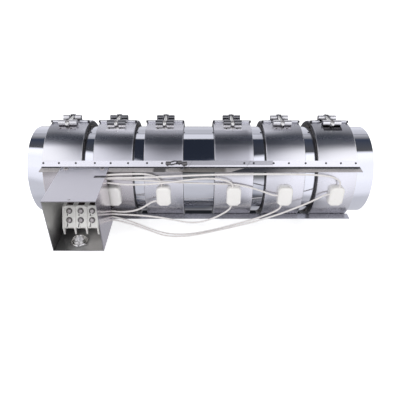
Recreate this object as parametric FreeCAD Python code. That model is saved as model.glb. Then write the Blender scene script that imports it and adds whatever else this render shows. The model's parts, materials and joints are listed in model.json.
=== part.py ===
import FreeCAD, Part
import math
import os

# A barrel heater set: six clamp-on ceramic band heaters on a thin sheet carrier tube, with wiring
# rails, an open terminal box and heat-proof leads. Millimetres. X runs along the tube, its middle
# at the origin, Z is up and -Y is the side with the terminal box.
# Angles round the tube are in degrees: 0 is the -Y side, 90 is the top, 180 is the +Y side.

# Carrier tube
tube_radius = 90.0
tube_wall = 2.0
tube_length = 672.0
seam_angle = 79.0
seam_width = 1.4
seam_depth = 0.5

# Bands along the tube, in a left and a right group of three
bands_per_group = 3
left_first_x = -265.0
left_pitch = 96.3
right_first_x = 63.0
right_pitch = 99.2
band_width = 75.0
band_thickness = 12.5
shell_radius = tube_radius + band_thickness
shell_sheet = 0.8
split_start = 94.0
split_end = 97.0
end_lip = 4.0

# Ceramic tiles and the heating winding between them and the shell
tiles_per_band = 14
tube_clearance = 0.4
tile_gap = 0.8
tile_side_gap = 0.4
winding_runs = 7
winding_width = 6.0
winding_thickness = 1.4
winding_gap = 0.3
winding_clearance = 0.1
winding_end_gap = 3.0

# Clamp at the split: folded straps, trunnion bars, screw and saddle washer
front_bar_angle = 86.0
rear_bar_angle = 104.0
strap_width = 36.0
strap_sheet = 1.2
front_strap_slot = 7.8
rear_strap_slot = 12.0
strap_foot_slot = 3.2
strap_foot = 11.0
strap_foot_bridge = 3.0
strap_lift = 0.1
strap_side_gap = 1.0
bar_size = 9.0
bar_clearance = 0.3
bar_length = 34.0
screw_radius = 3.0
screw_hole_clearance = 0.3
screw_tip_reach = 12.0
screw_head_flats = 10.0
screw_head_height = 4.5
washer_size = 11.0
washer_thickness = 1.5
seat_gap = 0.3

# Ceramic terminal caps
cap_width = 28.0
cap_height = 41.0
cap_depth = 12.5
cap_arch_radius = 9.0
cap_chamfer = 5.5

# Wiring rails, folded sheet angles along the bands
rail_sheet = 1.2
rail_leg = 13.0
rail_flange = 17.0
rail_bend = 1.0
rail_length = 606.0
upper_rail_angle = 33.5
lower_rail_angle = 39.5
left_joint_x = -42.0
right_joint_x = 69.0
joint_slant = 22.0
joint_gap = 0.5

# Terminal box, open at its front and back
box_left_x = -265.5
box_width = 91.0
box_gap = 19.5
box_depth = 87.5
box_height = 106.0
box_sheet = 1.2
tongue_length = 30.0
tongue_side_gap = 3.0
joggle_setback = 4.8
cable_slot_width = 4.0
cable_slot_length = 18.0
cable_slot_setback = 5.0
cover_hole_radius = 2.2
cover_hole_setback = 6.0
box_screw_head_radius = 4.5
box_screw_head_height = 3.0
box_screw_span = 68.0

# Mounting plate, terminal block and its screws
plate_sheet = 1.6
plate_setback = 7.6
poles = 3
pole_pitch = 21.0
block_from_left = 43.1
block_rise = 56.0
block_height = 40.0
block_depth = 38.4
block_top_depth = 18.4
block_face_drop = 33.0
block_edge = 4.0
block_fin = 3.0
block_fin_reach = 3.0
block_fin_tail = 8.5
entry_width = 12.0
entry_depth = 12.0
entry_wall = 3.0
terminal_screw_radius = 5.5
terminal_screw_height = 3.0
terminal_screw_inset = 9.5
terminal_screw_spacing = 17.0

# Cable gland through the bottom of the box
gland_from_left = 42.3
gland_inset = 23.0
gland_bore = 8.5
gland_thread_radius = 12.4
gland_reach = 9.0
gland_flange_radius = 15.5
gland_flange_height = 5.0
locknut_flats = 30.0
locknut_height = 5.0
thread_clearance = 0.3

# Heat-proof leads, each a route of hand-picked points from its cap to the mounting plate
lead_radius = 1.75
bend_share = 0.45


def at(x, radius, angle):
    """The point at a radius and an angle round the tube's axis."""
    turn = math.radians(angle)
    return FreeCAD.Vector(x, -radius * math.cos(turn), radius * math.sin(turn))


def round_tube(shape, angle):
    """A shape made at angle 0, turned to another angle round the tube's axis."""
    turned = shape.copy()
    turned.rotate(FreeCAD.Vector(0, 0, 0), FreeCAD.Vector(-1, 0, 0), angle)
    return turned


def prism(points, along):
    """A closed outline pushed along a vector."""
    wire = Part.makePolygon(points + [points[0]])
    return Part.Face(wire).extrude(along)


def side_prism(outline, x0, width):
    """An outline of (y, z) pairs pushed along the tube."""
    points = [FreeCAD.Vector(x0, y, z) for y, z in outline]
    return prism(points, FreeCAD.Vector(width, 0, 0))


def block(x0, x1, y0, y1, z0, z1):
    corner = FreeCAD.Vector(x0, y0, z0)
    return Part.makeBox(x1 - x0, y1 - y0, z1 - z0, corner)


def rod(start, direction, radius, length):
    return Part.makeCylinder(radius, length, start, direction)


def hexagon(centre, axis, flats, height):
    """A hexagon prism that stands on a plane through its centre."""
    axis = FreeCAD.Vector(axis).normalize()
    side = axis.cross(FreeCAD.Vector(1, 0, 0))
    if side.Length < 0.1:
        side = axis.cross(FreeCAD.Vector(0, 1, 0))
    side.normalize()
    across = axis.cross(side)
    corner_radius = flats / math.sqrt(3)
    corners = []
    for step in range(6):
        turn = math.radians(60 * step)
        corners.append(centre + side * (corner_radius * math.cos(turn))
                       + across * (corner_radius * math.sin(turn)))
    return prism(corners, axis * height)


def edges_along_x(shape, y, z, reach):
    """The edges that run along the tube within a reach of one (y, z) place."""
    found = []
    for edge in shape.Edges:
        ends = edge.Vertexes
        if len(ends) != 2 or abs(ends[0].X - ends[1].X) < 5:
            continue
        middle = (ends[0].Point + ends[1].Point) * 0.5
        if math.hypot(middle.y - y, middle.z - z) < reach:
            found.append(edge)
    return found


def save(name, shapes):
    """Write one node, a single solid or a group of separate solids."""
    group = shapes if isinstance(shapes, list) else [shapes]
    for shape in group:
        if not shape.isValid() or len(shape.Solids) != 1:
            raise ValueError(name + " isn't one valid solid")
    whole = group[0] if len(group) == 1 else Part.makeCompound(group)
    whole.exportStep("parts/" + name + ".step")


def band_centres():
    """The middle of each band along the tube, by the band's name."""
    left = [left_first_x + left_pitch * i for i in range(bands_per_group)]
    right = [right_first_x + right_pitch * i for i in range(bands_per_group)]
    return {"band_%d" % number: x for number, x in enumerate(left + right, 1)}


def make_tube():
    """The carrier tube, with the line of its welded lengthwise seam."""
    start = FreeCAD.Vector(-tube_length / 2, 0, 0)
    along = FreeCAD.Vector(1, 0, 0)
    outside = rod(start, along, tube_radius, tube_length)
    inside = rod(start, along, tube_radius - tube_wall, tube_length)
    seam = block(-tube_length / 2, tube_length / 2, -tube_radius - 1, -tube_radius + seam_depth,
                 -seam_width / 2, seam_width / 2)
    return outside.cut(inside).cut(round_tube(seam, seam_angle))


def swept_sheet(x0, x1, r0, r1, a0, a1):
    """A piece of rolled sheet between two radii and two angles."""
    outline = [FreeCAD.Vector(x0, -r0, 0), FreeCAD.Vector(x1, -r0, 0),
               FreeCAD.Vector(x1, -r1, 0), FreeCAD.Vector(x0, -r1, 0)]
    face = Part.Face(Part.makePolygon(outline + [outline[0]]))
    rolled = face.revolve(FreeCAD.Vector(0, 0, 0), FreeCAD.Vector(-1, 0, 0), a1 - a0)
    return round_tube(rolled, a0)


def make_shell(x):
    """One band's rolled sheet shell, with lips turned out beside the clamp at the split."""
    x0 = x - band_width / 2
    x1 = x + band_width / 2
    inner = shell_radius - shell_sheet
    sheet = swept_sheet(x0, x1, inner, shell_radius, split_end, split_start + 360)
    lips = []
    half_slot = strap_width / 2 + strap_side_gap
    for angle, turned in ((split_start, 0.0), (split_end, -shell_sheet)):
        for a, b in ((x0, x - half_slot), (x + half_slot, x1)):
            lip = block(a, b, -shell_radius - end_lip, -inner, turned, turned + shell_sheet)
            lips.append(round_tube(lip, angle))
    return sheet.multiFuse(lips).removeSplitter()


def tile_step():
    return (360 + split_start - split_end) / tiles_per_band


def tile_angle(i):
    return split_end + tile_step() * (i + 0.5)


def winding_top():
    """Distance of the winding's outer flats from the axis, so that its corners clear the shell."""
    corner = shell_radius - shell_sheet - winding_clearance
    return corner * math.cos(math.radians(tile_step() / 2))


def make_tiles(x):
    """The ceramic tiles of one band, flat bricks that flex against each other."""
    flat = tube_radius + tube_clearance
    top = winding_top() - winding_thickness - winding_gap
    lean = math.tan(math.radians(tile_step() / 2))
    low_half = flat * lean - tile_gap / 2
    high_half = top * lean - tile_gap / 2
    outline = [(-flat, -low_half), (-flat, low_half), (-top, high_half), (-top, -high_half)]
    inside = band_width / 2 - shell_sheet - tile_side_gap
    brick = side_prism(outline, x - inside, 2 * inside)
    return [round_tube(brick, tile_angle(i)) for i in range(tiles_per_band)]


def make_winding(x):
    """The heating winding of one band: runs across the tiles, joined at alternate ends."""
    high = winding_top()
    low = high - winding_thickness
    inside = band_width / 2 - shell_sheet - winding_end_gap
    stride = tiles_per_band // winding_runs
    step = tile_step()
    lean = math.tan(math.radians(step / 2))
    link = side_prism([(-low, -low * lean), (-low, low * lean), (-high, high * lean),
                       (-high, -high * lean)], x - inside, winding_width)
    pieces = []
    for i in range(winding_runs):
        run = block(x - inside, x + inside, -high, -low, -winding_width / 2, winding_width / 2)
        pieces.append(round_tube(run, tile_angle(i * stride)))
        if i == winding_runs - 1:
            break
        shift = 0 if i % 2 else 2 * inside - winding_width
        for k in range(stride + 1):
            turned = round_tube(link, tile_angle(i * stride + k))
            turned.translate(FreeCAD.Vector(shift, 0, 0))
            pieces.append(turned)
    return pieces[0].multiFuse(pieces[1:]).removeSplitter()


def bar_radius():
    """Distance of the trunnion bars from the tube's axis."""
    return shell_radius + strap_lift + strap_sheet + bar_clearance + bar_size / 2


def make_strap(x, angle, foot_side, slot_width):
    """A strap folded square round a trunnion bar, with a foot welded along the shell."""
    inner = bar_size / 2 + bar_clearance
    outer = inner + strap_sheet
    r = bar_radius()
    x0 = x - strap_width / 2
    loop = side_prism([(-r - outer, -outer), (-r - outer, outer), (-r + outer, outer),
                       (-r + outer, -outer)], x0, strap_width)
    hollow = side_prism([(-r - inner, -inner), (-r - inner, inner), (-r + inner, inner),
                         (-r + inner, -inner)], x0, strap_width)
    half_turn = math.degrees(outer / shell_radius)
    reach = math.degrees(strap_foot / shell_radius)
    a0, a1 = -half_turn, half_turn
    if foot_side < 0:
        a0 -= reach
    else:
        a1 += reach
    foot = swept_sheet(x0, x0 + strap_width, shell_radius, shell_radius + strap_sheet, a0, a1)
    screw_slot = block(x - slot_width / 2, x + slot_width / 2, -r - outer - 1, 0,
                       -outer - 1, outer + 1)
    slot_end = foot_side * (outer + strap_foot - strap_foot_bridge)
    foot_slot = block(x - strap_foot_slot / 2, x + strap_foot_slot / 2, -shell_radius - strap_sheet, 0,
                      min(0, slot_end), max(0, slot_end))
    strap = loop.cut(hollow).fuse(foot).cut(screw_slot).cut(foot_slot).removeSplitter()
    return round_tube(strap, angle)


def bar_centre(x, angle):
    return at(x, bar_radius(), angle)


def screw_line(x):
    """The front and rear bars' centres and the direction from the front to the rear."""
    front = bar_centre(x, front_bar_angle)
    rear = bar_centre(x, rear_bar_angle)
    direction = rear - front
    direction.normalize()
    return front, rear, direction


def make_bar(x, angle):
    """A trunnion bar: the front one is bored for the screw, the rear one is open for it."""
    front, rear, direction = screw_line(x)
    is_front = angle == front_bar_angle
    centre = front if is_front else rear
    half = bar_size / 2
    hole = screw_radius + screw_hole_clearance
    r = bar_radius()
    outline = [(-r - half, -half), (-r - half, half), (-r + half, half), (-r + half, -half)]
    bar = round_tube(side_prism(outline, x - bar_length / 2, bar_length), angle)
    if is_front:
        return bar.cut(rod(centre - direction * bar_size, direction, hole, 2 * bar_size))
    across = FreeCAD.Vector(1, 0, 0).cross(direction)
    corners = []
    for u, v in ((-bar_size, -hole), (bar_size, -hole), (bar_size, bar_size), (-bar_size, bar_size)):
        corners.append(centre + direction * u - across * v - FreeCAD.Vector(hole, 0, 0))
    return bar.cut(prism(corners, FreeCAD.Vector(2 * hole, 0, 0)))


def washer_seat(x):
    """Where the washer starts, just outside the corner of the leaning rear bar."""
    front, rear, direction = screw_line(x)
    lean = math.radians((rear_bar_angle - front_bar_angle) / 2)
    reach = bar_size / 2 * (math.cos(lean) + math.sin(lean))
    return rear + direction * (reach + seat_gap)


def make_screw(x):
    """The clamp screw, hexagon headed, from the rear bar into the front bar."""
    front, rear, direction = screw_line(x)
    head = washer_seat(x) + direction * washer_thickness
    tip = front - direction * screw_tip_reach
    shank = rod(tip, direction, screw_radius, (head - tip).Length)
    return shank.fuse(hexagon(head, direction, screw_head_flats, screw_head_height))


def make_washer(x):
    """The square saddle washer that the screw keeps with its head."""
    front, rear, direction = screw_line(x)
    seat = washer_seat(x)
    half = washer_size / 2
    across = FreeCAD.Vector(1, 0, 0).cross(direction)
    corners = []
    for u, v in ((-half, -half), (half, -half), (half, half), (-half, half)):
        corners.append(seat + FreeCAD.Vector(u, 0, 0) + across * v)
    plate = prism(corners, direction * washer_thickness)
    hole = rod(seat - direction, direction, screw_radius + screw_hole_clearance,
               washer_thickness + 2)
    return plate.cut(hole)


def make_cap(x):
    """A ceramic terminal cap: arched at its top, chamfered at its lower corners."""
    w = cap_width / 2
    h = cap_height / 2
    r = cap_arch_radius
    c = cap_chamfer
    back = -shell_radius

    def spot(u, v):
        return FreeCAD.Vector(x + u, back, v)

    lean = r * (1 - math.sqrt(0.5))
    edges = [Part.LineSegment(spot(-w, -h + c), spot(-w, h - r)).toShape(),
             Part.Arc(spot(-w, h - r), spot(-w + lean, h - lean), spot(-w + r, h)).toShape(),
             Part.LineSegment(spot(-w + r, h), spot(w - r, h)).toShape(),
             Part.Arc(spot(w - r, h), spot(w - lean, h - lean), spot(w, h - r)).toShape(),
             Part.LineSegment(spot(w, h - r), spot(w, -h + c)).toShape(),
             Part.LineSegment(spot(w, -h + c), spot(w - c, -h)).toShape(),
             Part.LineSegment(spot(w - c, -h), spot(-w + c, -h)).toShape(),
             Part.LineSegment(spot(-w + c, -h), spot(-w, -h + c)).toShape()]
    return Part.Face(Part.Wire(edges)).extrude(FreeCAD.Vector(0, -cap_depth, 0))


def rail_section(angle, side):
    """The (y, z) outline of a rail: a leg on the shells and a level flange outwards."""
    turn = math.radians(angle)
    mid = shell_radius + rail_sheet / 2
    foot_y = -(mid * math.cos(turn) + rail_leg / 2 * math.sin(turn))
    foot_z = mid * math.sin(turn) - rail_leg / 2 * math.cos(turn)
    head_y = -(mid * math.cos(turn) - rail_leg / 2 * math.sin(turn))
    head_z = mid * math.sin(turn) + rail_leg / 2 * math.cos(turn)
    half = rail_sheet / 2
    out_y = math.cos(turn) * half
    out_z = math.sin(turn) * half
    slope = (head_y - foot_y) / (head_z - foot_z)
    upper = foot_z + half
    lower = foot_z - half
    outer_corner_y = foot_y - out_y + slope * (upper - foot_z - out_z)
    inner_corner_y = foot_y + out_y + slope * (lower - foot_z + out_z)
    edge_y = foot_y - rail_flange
    outline = [(head_y - out_y, head_z + out_z), (head_y + out_y, head_z - out_z),
               (inner_corner_y, lower), (edge_y, lower), (edge_y, upper), (outer_corner_y, upper)]
    bends = [(outer_corner_y, upper, rail_bend), (inner_corner_y, lower, rail_bend + rail_sheet)]
    return [(y, side * z) for y, z in outline], [(y, side * z, r) for y, z, r in bends]


def make_rail(angle, side, x0, x1):
    """A length of rail with its fold rounded."""
    outline, bends = rail_section(angle, side)
    rail = side_prism(outline, x0, x1 - x0)
    for y, z, radius in bends:
        rail = rail.makeFillet(radius, edges_along_x(rail, y, z, 0.2))
    return rail


def joint_cutter(x, gap_side):
    """A tall wedge-ended block that trims a rail along the slanted joint at x."""
    half = joint_slant / 2
    gap = joint_gap / 2 * gap_side
    front_y = box_front_y()
    back_y = 0.0
    rail_front = -shell_radius - rail_flange / 2
    rail_back = -shell_radius + rail_flange / 2
    lean = joint_slant / (rail_back - rail_front)
    x_front = x + gap - half + lean * (front_y - rail_front)
    x_back = x + gap - half + lean * (back_y - rail_front)
    far = x + gap_side * tube_length
    outline = [FreeCAD.Vector(x_front, front_y, 0), FreeCAD.Vector(x_back, back_y, 0),
               FreeCAD.Vector(far + x_back - x, back_y, 0),
               FreeCAD.Vector(far + x_front - x, front_y, 0)]
    return prism(outline, FreeCAD.Vector(0, 0, shell_radius))


def make_upper_rails():
    """Three lengths that meet at slanted joints between the band groups."""
    whole = make_rail(upper_rail_angle, 1, -rail_length / 2, rail_length / 2)
    left = whole.common(joint_cutter(left_joint_x, -1))
    right = whole.common(joint_cutter(right_joint_x, 1))
    middle = whole.cut(joint_cutter(left_joint_x + joint_gap, -1))
    middle = middle.cut(joint_cutter(right_joint_x - joint_gap, 1))
    return left, middle, right


def upper_flange_z():
    outline, bends = rail_section(upper_rail_angle, 1)
    return outline[4][1]


def lower_flange_z():
    outline, bends = rail_section(lower_rail_angle, -1)
    return outline[3][1]


def box_right_x():
    return box_left_x + box_width


def box_back_y():
    return -shell_radius - box_gap


def box_front_y():
    return box_back_y() - box_depth


def box_top_z():
    """The top sheet lies on the upper rail's flange."""
    return upper_flange_z() + box_sheet


def box_bottom_z():
    return box_top_z() - box_height


def box_screw_places():
    """The two fixing screws, through the tongue and the upper rail's flange."""
    middle_x = box_left_x + box_width / 2
    outline, bends = rail_section(upper_rail_angle, 1)
    y = (outline[4][0] + outline[5][0]) / 2
    return [FreeCAD.Vector(middle_x + s * box_screw_span / 2, y, box_top_z()) for s in (-1, 1)]


def make_box():
    """The folded terminal box, with tongues on the upper and the lower rail."""
    x0, x1 = box_left_x, box_right_x()
    z0, z1 = box_bottom_z(), box_top_z()
    s = box_sheet
    front_y, back_y = box_front_y(), box_back_y()
    outside = block(x0, x1, front_y, back_y, z0, z1)
    inside = block(x0 + s, x1 - s, front_y - 1, back_y + 1, z0 + s, z1 - s)
    end_y = back_y + tongue_length
    tongues = [block(x0, x1, back_y, end_y, z1 - s, z1)]
    step = lower_flange_z()
    outline, bends = rail_section(lower_rail_angle, -1)
    fold_y = outline[3][0] - joggle_setback
    left, right = x0 + tongue_side_gap, x1 - tongue_side_gap
    tongues.append(block(left, right, back_y, fold_y + s, z0, z0 + s))
    tongues.append(block(left, right, fold_y, fold_y + s, min(z0, step), max(z0, step) + s))
    tongues.append(block(left, right, fold_y, end_y, step, step + s))
    slot_y = back_y - cable_slot_setback
    slot = block(x1 - cable_slot_length, x1 + 1, slot_y - cable_slot_width, slot_y,
                 z1 - s - 1, z1 + 1)
    up = FreeCAD.Vector(0, 0, 1)
    cover_place = FreeCAD.Vector(x0 + box_width / 2, front_y + cover_hole_setback, z1 - s - 1)
    cover_hole = rod(cover_place, up, cover_hole_radius, s + 2)
    gland_hole = rod(gland_base() - up, up, gland_thread_radius + thread_clearance, s + 2)
    folded = outside.cut(inside).multiFuse(tongues)
    return folded.cut(slot).cut(cover_hole).cut(gland_hole).removeSplitter()


def make_box_screws():
    screws = []
    for place in box_screw_places():
        screws.append(rod(place, FreeCAD.Vector(0, 0, 1), box_screw_head_radius,
                          box_screw_head_height))
    return screws


def plate_front_y():
    return box_back_y() - plate_setback


def make_plate():
    """The upright plate between the box's walls that carries the terminal block."""
    s = box_sheet
    return block(box_left_x + s, box_right_x() - s, plate_front_y(), plate_front_y() + plate_sheet,
                 box_bottom_z() + s, box_top_z() - s)


def pole_places():
    return [box_left_x + block_from_left + (i - (poles - 1) / 2) * pole_pitch
            for i in range(poles)]


def block_top_z():
    return box_bottom_z() + block_rise


def make_block():
    """The ceramic terminal block: a body with a sloped face, wire entries in its top, and
    fins with pointed tails between and beside the poles."""
    half = pole_pitch / 2
    x0 = pole_places()[0] - half
    back = plate_front_y()
    top = block_top_z()
    bottom = top - block_height
    brow = back - block_top_depth
    front = back - block_depth
    chin = top - block_face_drop
    body = side_prism([(back, bottom), (back, top), (brow, top), (front, chin),
                       (front, bottom + block_edge), (front + block_edge, bottom)],
                      x0, poles * pole_pitch)
    for x in pole_places():
        body = body.cut(block(x - entry_width / 2, x + entry_width / 2, brow + entry_wall,
                              back - entry_wall, top - entry_depth, top + 1))
    nose = front - block_fin_reach
    fin = [(back, bottom), (back, top), (brow - block_fin_reach, top), (nose, chin),
           (nose, bottom - block_fin_tail), (front + block_edge, bottom)]
    fins = []
    for i in range(poles + 1):
        fins.append(side_prism(fin, x0 + i * pole_pitch - block_fin / 2, block_fin))
    return body.multiFuse(fins).removeSplitter()


def make_terminal_screws():
    """Two screws at each pole, square to the block's sloped face."""
    run = FreeCAD.Vector(0, block_top_depth - block_depth, -block_face_drop)
    run.normalize()
    outwards = FreeCAD.Vector(0, run.z, -run.y)
    screws = []
    for x in pole_places():
        brow = FreeCAD.Vector(x, plate_front_y() - block_top_depth, block_top_z())
        for reach in (terminal_screw_inset, terminal_screw_inset + terminal_screw_spacing):
            screws.append(rod(brow + run * reach, outwards, terminal_screw_radius,
                              terminal_screw_height))
    return screws


def gland_base():
    """Where the gland's axis meets the underside of the box."""
    return FreeCAD.Vector(box_left_x + gland_from_left, box_front_y() + gland_inset,
                          box_bottom_z())


def make_gland():
    """The cable gland's body: a flange under the box and a threaded neck through its bottom."""
    up = FreeCAD.Vector(0, 0, 1)
    neck = rod(gland_base(), up, gland_thread_radius, box_sheet + gland_reach)
    foot = gland_base() - up * gland_flange_height
    flange = hexagon(foot, up, 2 * gland_flange_radius, gland_flange_height)
    bore = rod(foot - up, up, gland_bore, gland_flange_height + box_sheet + gland_reach + 2)
    return neck.fuse(flange).cut(bore)


def make_locknut():
    """The hexagon nut that holds the gland, inside the box."""
    up = FreeCAD.Vector(0, 0, 1)
    base = gland_base() + up * box_sheet
    nut = hexagon(base, up, locknut_flats, locknut_height)
    return nut.cut(rod(base - up, up, gland_thread_radius + thread_clearance, locknut_height + 2))


# Each route leaves a cap square to its face, given as the band, the face, the shift along
# the face and the reach in front of the shells. Its points are x, reach and z, and it
# ends square to the mounting plate's back, in line with its last point.
lead_routes = {
    "lead_3_upper": (("band_3", "top", -3.2, 2.5), [
        (-75.6, 2.5, 26.5), (-79, 2.1, 34), (-88, 2.3, 41.5), (-103, 4.5, 47.2), (-124, 8, 49.3),
        (-152, 10.1, 49.6), (-170, 10.9, 48.9), (-181.9, 11.5, 48.5), (-190, 19.6, 48.5)]),
    "lead_4_upper": (("band_4", "top", -3, 7.5), [
        (60, 7.5, 25.5), (55, 7.5, 31), (43, 7, 35.5), (26, 7, 38.8), (-4, 7, 39), (-42, 8.5, 34),
        (-90, 10.8, 28.6), (-136, 12.5, 28.4), (-162, 14.5, 32.2), (-183, 15.3, 35.5),
        (-198, 15.5, 36.2), (-207.4, 15, 35.8), (-212, 19.6, 35.5)]),
    "lead_5_upper": (("band_5", "left", 0, 5.5), [
        (141.5, 5.5, 0), (129, 4.5, 4.5), (108, 3.3, 12.5), (82, 2.3, 20.3), (58, 2.1, 24.3),
        (12, 2.5, 25), (-34, 4, 28), (-78, 6.5, 32.4), (-128, 8.9, 37.4), (-160, 10.7, 40.4),
        (-180, 11.3, 40.2), (-195.9, 11.5, 40), (-204, 19.6, 40)]),
    "lead_6_upper": (("band_6", "top", 3, 6.5), [
        (264.4, 6.5, 27.5), (261, 7.1, 34.5), (250, 7.7, 41.5), (230, 7.9, 46), (190, 7.7, 48.4),
        (105, 7.5, 48.7), (5, 7.5, 47.2), (-70, 8.3, 43.4), (-112, 10.3, 42.6), (-146, 13.3, 43.8),
        (-170, 15.1, 44.3), (-182.8, 15.5, 44.4), (-191.4, 15, 44), (-196, 19.6, 44)]),
    "lead_3_lower": (("band_3", "left", -12, 6.5), [
        (-92.5, 6.5, -12), (-102, 7.1, -17.5), (-115, 8.7, -26.5), (-132, 10.3, -33),
        (-155, 11.5, -34.6), (-172, 11.9, -32.4), (-181.9, 11.5, -31.5), (-190, 19.6, -31.5)]),
    "lead_4_lower": (("band_4", "bottom", -4, 6.5), [
        (59, 6.5, -26.5), (53, 6.9, -34.5), (41, 7.5, -43), (22, 8.1, -54), (-2, 8.5, -62),
        (-26, 9.1, -62.4), (-52, 10.1, -55.6), (-86, 11.9, -46.5), (-124, 14.1, -40.4),
        (-155, 15.7, -37.6), (-173, 15.7, -36.2), (-183, 15.7, -35.6), (-191.4, 15, -35.8),
        (-196, 19.6, -35.8)]),
    "lead_5_lower": (("band_5", "bottom", -5, 6.5), [
        (157.2, 6.5, -26.5), (152, 6.1, -33.5), (140, 5.5, -41.5), (118, 5.1, -52.5), (84, 5, -65),
        (34, 5, -81.5), (-14, 5, -93.5), (-52, 5.3, -96), (-84, 6.1, -89), (-110, 7.3, -76),
        (-134, 8.9, -62.5), (-158, 11.1, -50.5), (-178, 11.9, -44.8), (-195.9, 11.5, -43.5),
        (-204, 19.6, -43.5)]),
    "lead_6_lower": (("band_6", "left", 3, 6.5), [
        (240.5, 6.5, 3), (229, 7.1, -4), (211, 7.7, -15), (186, 8.3, -27.5), (152, 9.1, -43.5),
        (108, 9.5, -59.5), (54, 9.5, -76.5), (0, 9.5, -91.5), (-42, 9.5, -98.5), (-76, 9.7, -95.5),
        (-103, 10.1, -82.5), (-127, 11.5, -69.5), (-152, 14.5, -57), (-174, 16.1, -49.8),
        (-189, 16.3, -47.6), (-199.4, 15.7, -47.3), (-207.4, 15, -47.8), (-212, 19.6, -47.8)]),
}


def lead_points(route):
    """The points of a route, with its exit on the cap and its end at the mounting plate."""
    (band, face, shift, reach), middle = route
    x = band_centres()[band]
    front = -shell_radius
    if face == "left":
        first = FreeCAD.Vector(x - cap_width / 2, front - reach, shift)
    else:
        edge = cap_height / 2 if face == "top" else -cap_height / 2
        first = FreeCAD.Vector(x + shift, front - reach, edge)
    points = [first] + [FreeCAD.Vector(u, front - v, w) for u, v, w in middle]
    last = FreeCAD.Vector(points[-1])
    last.y = plate_front_y() + plate_sheet
    return points + [last]


def make_lead(name, spots):
    """A lead as straight runs joined by tangent arcs, each as large as its two runs allow."""
    edges = []
    radii = []
    start = spots[0]
    length = 0.0
    for before, here, after in zip(spots, spots[1:], spots[2:]):
        back = before - here
        ahead = after - here
        cut = bend_share * min(back.Length, ahead.Length)
        turn = math.pi - back.getAngle(ahead)
        radius = cut / math.tan(turn / 2)
        radii.append((radius, math.degrees(turn)))
        back.normalize()
        ahead.normalize()
        arc_start = here + back * cut
        arc_end = here + ahead * cut
        inward = back + ahead
        inward.normalize()
        middle = here + inward * (math.hypot(radius, cut) - radius)
        edges.append(Part.LineSegment(start, arc_start).toShape())
        edges.append(Part.Arc(arc_start, middle, arc_end).toShape())
        start = arc_end
    edges.append(Part.LineSegment(start, spots[-1]).toShape())
    path = Part.Wire(edges)
    direction = spots[1] - spots[0]
    ring = Part.Wire(Part.makeCircle(lead_radius, spots[0], direction))
    tube = path.makePipeShell([ring], True, False)
    section = math.pi * lead_radius ** 2
    smallest = min(radii)
    largest_turn = max(turn for radius, turn in radii)
    print("%s length %.1f, smallest bend %.1f, largest turn %.0f, volume over section x length %.4f"
          % (name, path.Length, smallest[0], largest_turn, tube.Volume / (section * path.Length)))
    return tube


def main():
    os.makedirs("parts", exist_ok=True)
    save("carrier_tube", make_tube())
    straps, bars, windings = [], [], []
    for band, x in band_centres().items():
        save(band + "_shell", make_shell(x))
        save(band + "_tiles", make_tiles(x))
        windings.append(make_winding(x))
        straps.append(make_strap(x, front_bar_angle, -1, front_strap_slot))
        straps.append(make_strap(x, rear_bar_angle, 1, rear_strap_slot))
        bars.append(make_bar(x, front_bar_angle))
        bars.append(make_bar(x, rear_bar_angle))
        save(band + "_clamp_screw", make_screw(x))
        save(band + "_clamp_washer", make_washer(x))
        save(band + "_terminal_cap", make_cap(x))
    save("heating_windings", windings)
    save("clamp_straps", straps)
    save("clamp_bars", bars)
    left, middle, right = make_upper_rails()
    save("upper_rail_left", left)
    save("upper_rail_middle", middle)
    save("upper_rail_right", right)
    save("lower_rail", make_rail(lower_rail_angle, -1, -rail_length / 2, rail_length / 2))
    save("terminal_box", make_box())
    save("box_screws", make_box_screws())
    save("mounting_plate", make_plate())
    save("terminal_block", make_block())
    save("terminal_screws", make_terminal_screws())
    save("cable_gland", make_gland())
    save("gland_locknut", make_locknut())
    for name, route in lead_routes.items():
        save(name, make_lead(name, lead_points(route)))


main()
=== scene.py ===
import json
import math
from functools import partialmethod

import bmesh
import bpy
from mathutils import Matrix, Vector

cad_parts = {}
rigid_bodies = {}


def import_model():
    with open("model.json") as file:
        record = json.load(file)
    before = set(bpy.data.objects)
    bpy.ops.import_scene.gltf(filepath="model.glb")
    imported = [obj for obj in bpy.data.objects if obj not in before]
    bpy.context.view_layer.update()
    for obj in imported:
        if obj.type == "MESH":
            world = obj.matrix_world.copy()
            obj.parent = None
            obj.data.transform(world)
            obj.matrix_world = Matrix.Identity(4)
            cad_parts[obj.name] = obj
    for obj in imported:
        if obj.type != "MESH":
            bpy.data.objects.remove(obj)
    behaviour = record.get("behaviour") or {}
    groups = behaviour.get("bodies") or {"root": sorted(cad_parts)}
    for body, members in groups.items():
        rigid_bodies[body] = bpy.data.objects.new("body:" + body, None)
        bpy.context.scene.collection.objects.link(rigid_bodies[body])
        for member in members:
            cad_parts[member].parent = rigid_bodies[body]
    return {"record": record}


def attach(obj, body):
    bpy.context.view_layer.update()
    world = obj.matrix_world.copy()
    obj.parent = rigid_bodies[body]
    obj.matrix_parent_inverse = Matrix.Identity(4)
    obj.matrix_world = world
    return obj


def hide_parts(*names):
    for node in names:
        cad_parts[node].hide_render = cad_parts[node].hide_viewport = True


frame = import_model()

bl_info = {
    "name": "Band heater row",
    "version": (1, 0, 0),
    "blender": (4, 5, 0),
    "location": "View3D > Sidebar > Heater",
    "description": "Dresses a row of clamp-on band heaters on its carrier tube",
    "category": "Object",
}

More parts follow.
